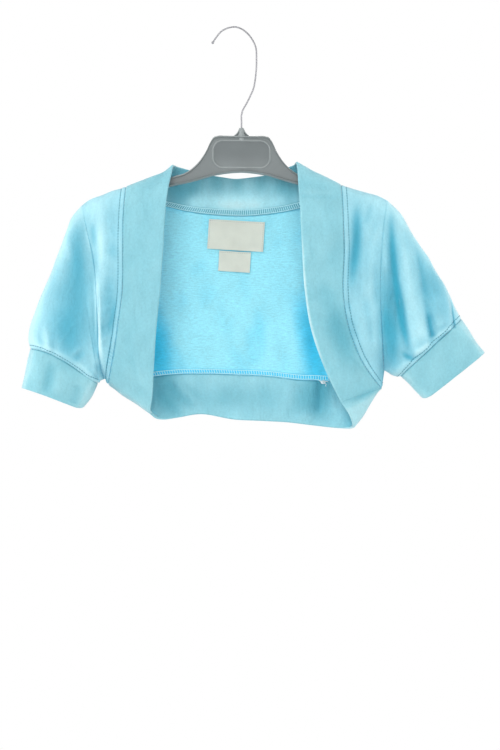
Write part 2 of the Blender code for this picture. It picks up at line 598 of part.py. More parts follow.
def cloth_sheets():
    """The middle surfaces of every cut piece."""
    crowding = 0.8
    band, band_bow = band_sections(NECK_BAND, [
        (LEFT_SIDE, LEFT_NECK, FRONT_ROWS, crowding),
        (LEFT_NECK, RIGHT_NECK, NECK_STEPS, 0.6),
        (RIGHT_NECK, RIGHT_SIDE, FRONT_ROWS, crowding),
    ])
    hem, hem_bow = band_sections(HEM_BAND, [
        (0, HEM_RIGHT_TURN, RIDGE_STEPS, 0.0),
        (HEM_RIGHT_TURN, HEM_LEFT_TURN, NECK_STEPS, 0.0),
        (HEM_LEFT_TURN, len(HEM_BAND) - 1, RIDGE_STEPS, 0.0),
    ])
    neck_at = FRONT_ROWS
    right_neck_at = FRONT_ROWS + NECK_STEPS
    seam = band[:, 0]
    ridge_left = curve(RIDGE_LEFT, RIDGE_STEPS)
    ridge_right = curve(RIDGE_RIGHT, RIDGE_STEPS)
    front_fractions = crowded(FRONT_ROWS, crowding)
    back_fractions = crowded(BACK_ROWS, crowding)

    front_left_hole = curve(ARMHOLE_LEFT_FRONT, FRONT_ROWS, crowding)
    front_right_hole = curve(ARMHOLE_RIGHT_FRONT, FRONT_ROWS, crowding)
    back_left_hole = curve(ARMHOLE_LEFT_BACK, BACK_ROWS, crowding)
    back_right_hole = curve(ARMHOLE_RIGHT_BACK, BACK_ROWS, crowding)

    def with_side(hole, foot):
        side = hole[-1] + np.linspace(0, 1, SIDE_ROWS + 1)[1:, None] * (foot - hole[-1])
        return np.concatenate([hole, side])

    front_left = front_panel(ridge_left, seam[neck_at::-1], front_left_hole, ROLL_LEFT)
    front_right = front_panel(ridge_right, seam[right_neck_at:], front_right_hole, [])
    top = np.concatenate([ridge_left[::-1], seam[neck_at + 1:right_neck_at], ridge_right])
    hem_seam = hem[::-1, 0]
    back = back_panel(top, hem_seam, with_side(back_left_hole, hem_seam[0]),
                      with_side(back_right_hole, hem_seam[-1]))

    def band_grid(sections):
        across = np.linspace(0, 1, BAND_STEPS + 1)[:, None, None]
        return sections[None, :, 0] * (1 - across) + sections[None, :, 1] * across

    def bowed(bow):
        across = np.linspace(0, 1, BAND_STEPS + 1)[:, None]
        return bow[None, :] * across ** 2 * (1 - across) * BOW_PEAK

    sheets = [
        Sheet("back", back, PANEL_WALL, "first_row last_row first_column last_column"),
        Sheet("front_left", front_left, PANEL_WALL, "first_row last_row first_column last_column"),
        Sheet("front_right", front_right, PANEL_WALL, "first_row last_row first_column last_column"),
        Sheet("neck_band", band_grid(band), BAND_WALL, "first_row first_column last_column",
              folded="last_row", stand_out=bowed(band_bow)),
        Sheet("hem_band", band_grid(hem), BAND_WALL, "first_row first_column last_column",
              folded="last_row", stand_out=bowed(hem_bow)),
    ]
    body_axis = lambda middle: np.array([np.clip(middle[0], -90, 100), 0.0, np.clip(middle[2], -340, -175)])
    for sheet in sheets:
        face_outward(sheet, body_axis)

    arms = [
        ("left", front_left_hole, back_left_hole, SLEEVE_LEFT, CUFF_LEFT),
        ("right", front_right_hole, back_right_hole, SLEEVE_RIGHT, CUFF_RIGHT),
    ]
    for side, front_hole, back_hole, sleeve_rows, cuff_rows in arms:
        hole = np.concatenate([front_hole, back_hole[::-1][1:-1]])
        sleeve = tube(hole, sleeve_rows, SLEEVE_RINGS, front_fractions, back_fractions, 0.3)
        cuff = tube(sleeve[-1], cuff_rows, CUFF_RINGS, front_fractions, back_fractions)
        for name, grid, wall, sewn, folded in (
            ("sleeve_" + side, sleeve, PANEL_WALL, "first_row last_row", ""),
            ("cuff_" + side, cuff, BAND_WALL, "first_row", "last_row"),
        ):
            sheet = Sheet(name, grid, wall, sewn, closed=True, folded=folded)
            heart = grid.mean(axis=(0, 1))
            face_outward(sheet, lambda middle, heart=heart: heart)
            sheets.append(sheet)

    shared_normals(sheets)
    press_folds(sheets, FOLDS)
    shared_normals(sheets)
    soften_normals(sheets, NORMAL_ROUNDS)
    ease_side_seams(sheets)
    return sheets


def ease_side_seams(sheets):
    """Give the short side seams one set of normals, since their two sides are sampled apart."""
    named = {sheet.name: sheet for sheet in sheets}
    back = named["back"].normals
    for name, column in (("front_left", 0), ("front_right", -1)):
        front = named[name].normals
        foot, pit = back[-1, column], back[-1 - SIDE_ROWS, column]
        share = np.linspace(0, 1, front.shape[1])[:, None]
        front[-1] = foot * (1 - share) + pit * share
        front[-1] /= np.linalg.norm(front[-1], axis=1, keepdims=True)
        for row in range(1, SIDE_ROWS):
            mixed = pit + (foot - pit) * row / SIDE_ROWS
            back[-1 - SIDE_ROWS + row, column] = mixed / np.linalg.norm(mixed)


def label_sheet(name, back, middle, size):
    """A label lying on the inside of the back: its points are the back's, moved out."""
    inner = back.grid - back.normals * back.wall / 2
    corners = [[place[0] * back.columns() + place[1] for place in quad] for quad in back.quads()]
    surface = BVHTree.FromPolygons([Vector(p) for p in inner.reshape((-1, 3))], corners)
    across = np.linspace(-0.5, 0.5, LABEL_STEPS[0] + 1) * size[0]
    down = np.linspace(0.5, -0.5, LABEL_STEPS[1] + 1) * size[1]
    stand_off = SEAM_GAP + LABEL_WALL / 2
    grid = np.empty((len(down), len(across), 3))
    for i, v in enumerate(down):
        for j, u in enumerate(across):
            x = middle[0] + u * math.cos(LABEL_TILT) - v * math.sin(LABEL_TILT)
            z = middle[1] + u * math.sin(LABEL_TILT) + v * math.cos(LABEL_TILT)
            hit, normal, _, _ = surface.ray_cast(Vector((x, -5.0, z)), Vector((0.0, 1.0, 0.0)))
            grid[i, j] = (x, hit[1] - stand_off, z)
    sheet = Sheet(name, grid, LABEL_WALL, "")
    face_outward(sheet, lambda point: point + np.array([0.0, 50.0, 0.0]))
    shared_normals([sheet])
    return sheet


def hanger_body(made):
    """The moulded hanger: rounded sections along its arms, the raised pad and the stem's boss."""
    side = [(STEM_X + row.out, row.top, row.low) for row in HANGER_OUTLINE]
    other = [(STEM_X - row.out, row.top, row.low) for row in HANGER_OUTLINE[1:]]
    sections = other[::-1] + side
    lean = math.tan(HANGER_TILT)
    sections = [(x, top + (x - STEM_X) * lean, low + (x - STEM_X) * lean) for x, top, low in sections]
    thick = HANGER_HALF_THICK
    vertices = []
    for x, top, low in sections:
        soft = min(HANGER_ROUNDING, (top - low) / 3)
        ring = [(-thick + soft, top), (thick - soft, top), (thick, top - soft), (thick, low + soft),
                (thick - soft, low), (-thick + soft, low), (-thick, low + soft), (-thick, top - soft)]
        vertices.extend((x, y, z) for y, z in ring)
    around = 8
    faces = []
    for i in range(len(sections) - 1):
        for j in range(around):
            a, b = i * around + j, i * around + (j + 1) % around
            faces.append([a, b, b + around, a + around])
    faces.append(list(range(around))[::-1])
    faces.append([(len(sections) - 1) * around + j for j in range(around)])
    body = add_object("hanger", vertices, faces, made)

    pad_thick = thick + PAD_RAISED
    outline = rounded_plate(PAD_SIZE, PAD_ROUNDING)
    pad_points = [(STEM_X + x, y, PAD_MIDDLE_Z + z) for y in (-pad_thick, pad_thick) for x, z in outline]
    count = len(outline)
    pad_faces = [list(range(count)), [count + k for k in range(count)][::-1]]
    pad_faces += [[k, count + k, count + (k + 1) % count, (k + 1) % count] for k in range(count)]
    pad = add_object("pad_guide", pad_points, pad_faces, made)
    boss = turned("boss_guide", [(BOSS_RADIUS, -110.0), (BOSS_TOP_RADIUS, BOSS_TOP_Z)], 16, made)
    socket = turned("socket_guide", [(WIRE_RADIUS + SEAM_GAP, BOSS_TOP_Z - HOOK_SOCKET_DEPTH),
                                     (WIRE_RADIUS + SEAM_GAP, BOSS_TOP_Z + 1.0)], 12, made)
    for tool, operation in ((pad, "UNION"), (boss, "UNION"), (socket, "DIFFERENCE")):
        recalculated(tool)
        join = body.modifiers.new(tool.name, "BOOLEAN")
        join.operation = operation
        join.object = tool
        tool.hide_render = True
        tool.display_type = "WIRE"
    recalculated(body)
    return body


def rounded_plate(size, rounding, steps=5):
    """The outline of a plate with its two lower corners rounded."""
    half_x, half_z = size[0] / 2, size[1] / 2
    points = [(-half_x, half_z), (half_x, half_z)]
    for corner_x, start in ((half_x - rounding, 0.0), (-half_x + rounding, -90.0)):
        for k in range(steps + 1):
            angle = math.radians(start - 90.0 * k / steps)
            points.append((corner_x + rounding * math.cos(angle), -half_z + rounding + rounding * math.sin(angle)))
    return points


def turned(name, profile, sides, made):
    """A solid turned about the stem, from radii at heights."""
    vertices = []
    for radius, z in profile:
        for k in range(sides):
            angle = 2 * math.pi * k / sides
            vertices.append((STEM_X + radius * math.cos(angle), radius * math.sin(angle), z))
    faces = [[i * sides + k, i * sides + (k + 1) % sides, (i + 1) * sides + (k + 1) % sides, (i + 1) * sides + k]
             for i in range(len(profile) - 1) for k in range(sides)]
    faces.append(list(range(sides))[::-1])
    faces.append([(len(profile) - 1) * sides + k for k in range(sides)])
    return add_object(name, vertices, faces, made)


def recalculated(obj):
    """Turn every face of an object's mesh outward."""
    work = bmesh.new()
    work.from_mesh(obj.data)
    bmesh.ops.recalc_face_normals(work, faces=work.faces)
    work.to_mesh(obj.data)
    work.free()


def hanger_hook(made):
    """The wire hook, with the small ball on its free end."""
    path = curve([(x, 0.0, z) for x, z in HOOK_PATH], HOOK_POINTS)
    radii = [HOOK_TIP_RADIUS / WIRE_RADIUS if k == 0 else 1.0 for k in range(len(path))]
    wire = bpy.data.curves.new("hanger_hook", "CURVE")
    wire.dimensions = "3D"
    wire.bevel_depth = WIRE_RADIUS * MM
    wire.bevel_resolution = 2
    wire.use_fill_caps = True
    line = wire.splines.new("POLY")
    line.points.add(len(path) - 1)
    for point, place, radius in zip(line.points, path, radii):
        point.co = (*(place * MM), 1.0)
        point.radius = radius
    wire.materials.append(made)
    obj = bpy.data.objects.new("hanger_hook", wire)
    bpy.context.scene.collection.objects.link(obj)
    return obj


def build():
    for obj in list(bpy.data.objects):
        bpy.data.objects.remove(obj, do_unlink=True)
    cloth = material("cloth", CLOTH_BLUE, 0.9)
    label = material("label", LABEL_CREAM, 0.8)
    plastic = material("hanger_plastic", PLASTIC_GREY, 0.35)
    steel = material("hook_steel", STEEL, 0.25, 1.0)
    sheets = cloth_sheets()
    for sheet in sheets:
        add_object(sheet.name, *wall_mesh(sheet), cloth)
    back = sheets[0]
    for name, middle, size in (("neck_label", LABEL_MIDDLE, LABEL_SIZE),
                               ("size_label", SIZE_LABEL_MIDDLE, SIZE_LABEL_SIZE)):
        add_object(name, *wall_mesh(label_sheet(name, back, middle, size)), label)
    hanger_body(plastic)
    hanger_hook(steel)


build()
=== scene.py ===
"""A child's cropped cardigan on its hanger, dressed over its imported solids.

Lengths here are in millimetres, and the meshes are made in metres. X runs to the right as seen
from the front, -Y is the front and +Z is up. The origin is the underside of the hook's bend.
Left and right are the viewer's.

Each cloth piece is a thin closed shell on the same seam curves as its solid, sampled finely
enough for its creases, puckers, seam grooves and stitches.
"""

import math
from collections import namedtuple

import bpy
import numpy as np
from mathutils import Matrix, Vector
from mathutils.bvhtree import BVHTree


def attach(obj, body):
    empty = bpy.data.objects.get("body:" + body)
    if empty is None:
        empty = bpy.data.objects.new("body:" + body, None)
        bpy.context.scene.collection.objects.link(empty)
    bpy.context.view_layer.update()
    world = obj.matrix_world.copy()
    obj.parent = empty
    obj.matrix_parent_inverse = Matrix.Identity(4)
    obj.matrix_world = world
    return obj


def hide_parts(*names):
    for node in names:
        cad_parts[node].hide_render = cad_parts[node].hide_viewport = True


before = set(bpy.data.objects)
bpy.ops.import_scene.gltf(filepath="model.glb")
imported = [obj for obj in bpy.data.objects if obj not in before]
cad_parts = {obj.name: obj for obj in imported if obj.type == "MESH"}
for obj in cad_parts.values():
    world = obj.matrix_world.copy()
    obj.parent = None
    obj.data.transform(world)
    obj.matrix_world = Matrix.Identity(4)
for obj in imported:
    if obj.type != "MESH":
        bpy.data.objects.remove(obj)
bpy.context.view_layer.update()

MM = 0.001
FULL_TURN = 2 * math.pi

# Cloth
PANEL_WALL = 1.5
BAND_WALL = 2.5
LABEL_WALL = 0.5
SEAM_GAP = 0.06
# The rounded nose of a folded edge, as a share of half the wall, and the steps round it.
NOSE_REACH = 0.9
NOSE_STEPS = 5

# Samples along the shared seams, and how far they crowd towards the ends.
FRONT_ROWS = 220
BACK_ROWS = 150
SIDE_ROWS = 10
RIDGE_STEPS = 38
NECK_STEPS = 170
SLEEVE_RINGS = 74
CUFF_RINGS = 34
BAND_STEPS = 36
HOLE_CROWDING = 0.5
NECK_CROWDING = 0.4
SLEEVE_CROWDING = 0.3
NORMAL_ROUNDS = 3
SHARP_ANGLE = 60.0

FRONT = -1
BACK = 1
OUTER = 1
INNER = -1

Ring = namedtuple("Ring", "at top_x top_z low_x low_z front back bow")
Roll = namedtuple("Roll", "at out forward")
# A fold is wider on the right of a downward path by its lean, and fades over its start and end.
Fold = namedtuple("Fold", "side path width depth lean start end", defaults=(0.0, 0.3, 0.3))

# The neck band, from the left side up over the shoulders and down to the right side. Each row
# is a section across the band: x, y and z of the seam that joins it to the body, then those of
# its folded edge, then how far its outer part stands out from the straight line between them.
NECK_BAND = [
    (-126.0, 2.0, -356.0, -84.5, 4.0, -385.0, 0.0),
    (-125.0, -8.0, -351.0, -85.0, -9.0, -381.0, 0.0),
    (-122.5, -15.0, -339.0, -82.5, -18.0, -365.0, 0.5),
    (-119.0, -19.8, -322.0, -81.0, -22.0, -336.0, 1.0),
    (-115.0, -22.6, -295.0, -78.5, -25.0, -300.0, 1.0),
    (-111.0, -23.6, -262.0, -75.0, -26.5, -264.0, 1.0),
    (-110.5, -22.7, -225.0, -72.0, -25.5, -224.0, 1.0),
    (-110.5, -18.6, -192.0, -69.5, -21.5, -183.0, 0.5),
    (-109.2, -12.5, -171.0, -66.5, -15.5, -158.0, -0.5),
    (-108.6, -6.8, -162.4, -64.0, -8.5, -145.0, -2.0),
    (-108.3, 0.0, -159.6, -63.0, -1.0, -138.0, -2.5),
    (-105.0, 8.0, -163.5, -59.0, 8.5, -138.5, -1.5),
    (-95.0, 12.5, -170.0, -50.0, 15.0, -140.5, -0.5),
    (-72.0, 17.0, -176.5, -35.0, 21.0, -144.0, 0.5),
    (-45.0, 19.5, -182.5, -18.0, 25.0, -147.0, 1.0),
    (-5.0, 20.5, -186.5, 2.0, 26.0, -149.2, 1.0),
    (27.0, 20.0, -185.5, 25.0, 24.5, -147.0, 1.0),
    (63.0, 17.0, -179.3, 45.0, 19.0, -142.5, 0.5),
    (90.0, 12.5, -169.5, 55.0, 13.0, -138.5, 0.0),
    (102.0, 8.2, -161.5, 60.0, 8.5, -136.8, 0.0),
    (105.5, 0.0, -157.8, 62.0, 0.0, -135.2, 0.0),
    (106.0, -6.8, -160.3, 63.0, -8.0, -142.0, 0.0),
    (106.5, -12.5, -170.0, 64.0, -15.0, -157.0, 0.0),
    (107.2, -18.7, -190.0, 65.5, -21.5, -180.0, 0.5),
    (108.2, -22.6, -225.0, 67.5, -25.5, -222.0, 1.0),
    (106.8, -24.1, -262.0, 70.0, -26.5, -262.0, 1.0),
    (110.5, -23.8, -292.0, 75.5, -26.5, -298.0, 1.0),
    (118.8, -21.6, -318.5, 84.5, -25.5, -327.0, 1.0),
    (125.5, -18.6, -333.0, 95.0, -23.5, -352.0, 1.0),
    (133.5, -13.0, -345.5, 101.0, -21.5, -364.0, 0.5),
    (145.5, -2.0, -359.5, 106.0, -19.5, -373.5, 0.0),
]
LEFT_SIDE = 0
LEFT_NECK = 10
RIGHT_NECK = 20
RIGHT_SIDE = 30

# The hem band, from the right side round the back to the left side.
HEM_BAND = [
    NECK_BAND[-1],
    (147.0, 4.0, -359.5, 115.0, -13.0, -387.5, 0.5),
    (145.0, 10.0, -358.8, 118.5, -3.0, -397.5, 1.0),
    (137.0, 16.0, -357.5, 118.0, 8.0, -399.5, 0.5),
    (112.0, 19.5, -354.0, 104.0, 18.0, -399.5, 0.0),
    (87.0, 21.5, -352.8, 80.0, 22.0, -397.0, 0.0),
    (65.0, 22.0, -352.0, 55.0, 23.0, -394.0, 0.0),
    (35.0, 23.0, -348.5, 30.0, 23.0, -392.5, 0.0),
    (5.0, 23.0, -347.0, 0.0, 22.5, -391.0, 0.0),
    (-35.0, 22.0, -345.8, -35.0, 21.5, -385.5, 0.0),
    (-70.0, 20.0, -347.0, -58.0, 20.0, -389.0, 0.0),
    (-95.0, 16.0, -350.5, -73.0, 17.0, -391.0, 0.0),
    (-115.0, 10.5, -354.2, -80.5, 11.5, -389.5, 0.5),
    NECK_BAND[0],
]
HEM_RIGHT_TURN = 4
HEM_LEFT_TURN = 10

# The shoulder ridges, from the neck band's seam to the tip of the shoulder.
RIDGE_LEFT = [
    (-108.3, 0.0, -159.6), (-131.0, 0.0, -166.7), (-145.0, 0.0, -172.6), (-152.5, 0.0, -178.0),
]
RIDGE_RIGHT = [
    (105.5, 0.0, -157.8), (121.0, 0.0, -162.3), (137.0, 0.0, -167.0), (151.5, 0.0, -172.6),
]

# The armhole seams, from the tip of the shoulder to the armpit.
ARMHOLE_LEFT_FRONT = [
    (-152.5, 0.0, -178.0), (-151.5, -6.5, -183.5), (-147.0, -11.0, -203.0),
    (-140.0, -14.5, -234.0), (-137.0, -15.0, -268.0), (-136.0, -14.0, -302.0),
    (-134.0, -10.0, -334.0), (-130.5, 0.0, -350.5),
]
ARMHOLE_LEFT_BACK = [
    (-152.5, 0.0, -178.0), (-151.5, 6.5, -183.5), (-147.0, 12.0, -205.0), (-142.0, 16.0, -240.0),
    (-139.0, 17.0, -275.0), (-137.5, 15.5, -308.0), (-135.0, 10.0, -337.0), (-130.5, 0.0, -350.5),
]
ARMHOLE_RIGHT_FRONT = [
    (151.5, 0.0, -172.6), (151.0, -6.5, -178.0), (148.0, -12.0, -198.0), (145.5, -16.0, -228.0),
    (144.5, -17.5, -262.0), (145.5, -16.0, -293.0), (147.5, -10.0, -323.0), (148.5, 0.0, -341.0),
]
ARMHOLE_RIGHT_BACK = [
    (151.5, 0.0, -172.6), (151.0, 6.5, -178.0), (148.5, 12.0, -200.0), (146.0, 17.0, -235.0),
    (145.5, 18.0, -268.0), (146.5, 16.0, -300.0), (148.0, 10.0, -326.0), (148.5, 0.0, -341.0),
]

# Sections of the sleeves from the armhole (at 0) to the cuff's seam (at 1): the top and the
# underarm of each, how deep it stands to the front and the back, and how far its middle bows up.
SLEEVE_LEFT = [
    Ring(0.12, -161.0, -187.5, -135.5, -353.0, 17.5, 18.0, 2.5),
    Ring(0.30, -169.0, -207.0, -136.0, -353.3, 19.5, 19.5, 3.0),
    Ring(0.50, -182.0, -242.0, -136.4, -353.6, 21.5, 20.5, 3.5),
    Ring(0.70, -197.3, -279.0, -136.8, -354.0, 22.5, 21.0, 4.0),
    Ring(0.87, -206.3, -309.0, -137.2, -354.3, 21.5, 20.0, 4.5),
    Ring(1.00, -204.5, -321.0, -137.6, -354.8, 18.5, 17.5, 5.0),
]
SLEEVE_RIGHT = [
    Ring(0.12, 162.0, -182.5, 154.0, -344.0, 18.0, 18.0, -2.0),
    Ring(0.30, 174.0, -202.5, 155.5, -345.0, 19.5, 19.5, -2.0),
    Ring(0.50, 191.0, -227.5, 157.5, -346.0, 21.5, 20.5, 0.0),
    Ring(0.70, 207.5, -256.0, 160.5, -347.0, 22.5, 21.0, 0.0),
    Ring(0.87, 218.5, -277.5, 163.0, -347.3, 21.5, 20.0, 0.0),
    Ring(1.00, 225.5, -291.8, 166.0, -346.5, 18.5, 17.5, 0.0),
]
# Sections of the cuffs below their seam, to the open edge (at 1).
CUFF_LEFT = [
    Ring(0.50, -208.0, -340.5, -143.5, -366.5, 18.5, 17.5, 3.0),
    Ring(1.00, -211.6, -359.3, -153.0, -380.5, 17.5, 16.5, 1.0),
]
CUFF_RIGHT = [
    Ring(0.50, 236.5, -308.0, 176.5, -357.5, 18.5, 17.5, 0.0),
    Ring(1.00, 248.0, -324.6, 189.5, -370.8, 17.5, 16.5, 0.0),
]
RING_SQUARENESS = 2.3
# A section's bow is stronger near its top than near the underarm.
BOW_HIGH = 1.6
BOW_LOW = 0.4
# A cuff's open edge is drawn in at its lowest corner.
CORNER_REACH = 15.0
CORNER_ROUNDING = 4.5

# How far the left front rolls out over its armhole seam, down its length.
ROLL_LEFT = [
    Roll(0.0, 0.0, 0.0), Roll(0.3, 0.0, 1.6), Roll(0.5, 3.0, 3.4), Roll(0.72, 3.6, 3.6),
    Roll(0.85, 1.5, 2.0), Roll(0.93, 0.0, 0.6), Roll(1.0, 0.0, 0.0),
]
ROLL_CREST = 0.72
ROLL_WIDTH = 0.30
# The greatest value of t * t * (1 - t), inverted: it makes a band's bow 1 at its highest.
BOW_PEAK = 27 / 4

# How the back hangs from the shoulders: round over the hanger, then slowly further out.
ROOF_RADIUS = 7.0
BODY_DEPTH = 22.0
BODY_SPREAD = 45.0
SIDE_REACH = 0.28
# The line inside the body that tells a panel's inner side, across and up.
AXIS_ACROSS = (-90, 100)
AXIS_UP = (-340, -175)

# Slight unevenness of hanging cloth.
RIPPLE_SEED = 7
RIPPLE_COUNT = 26
RIPPLE_LENGTHS = (14.0, 46.0)
RIPPLE_HEIGHT = 0.75
RIPPLE_HEADINGS = (1.0, 0.6, 0.55)

# How a fold's path is read: its steps, how many widths it reaches, and how squarely the cloth
# has to face its side.
PATH_STEPS = 16
PATH_REACH = 3
PATH_FACING = 1.5


def folds_on(side, rows, ends=()):
    """Folds seen from one side. A row is a path, a width, a depth and what follows in Fold."""
    return [Fold(side, *row, *ends) for row in rows]


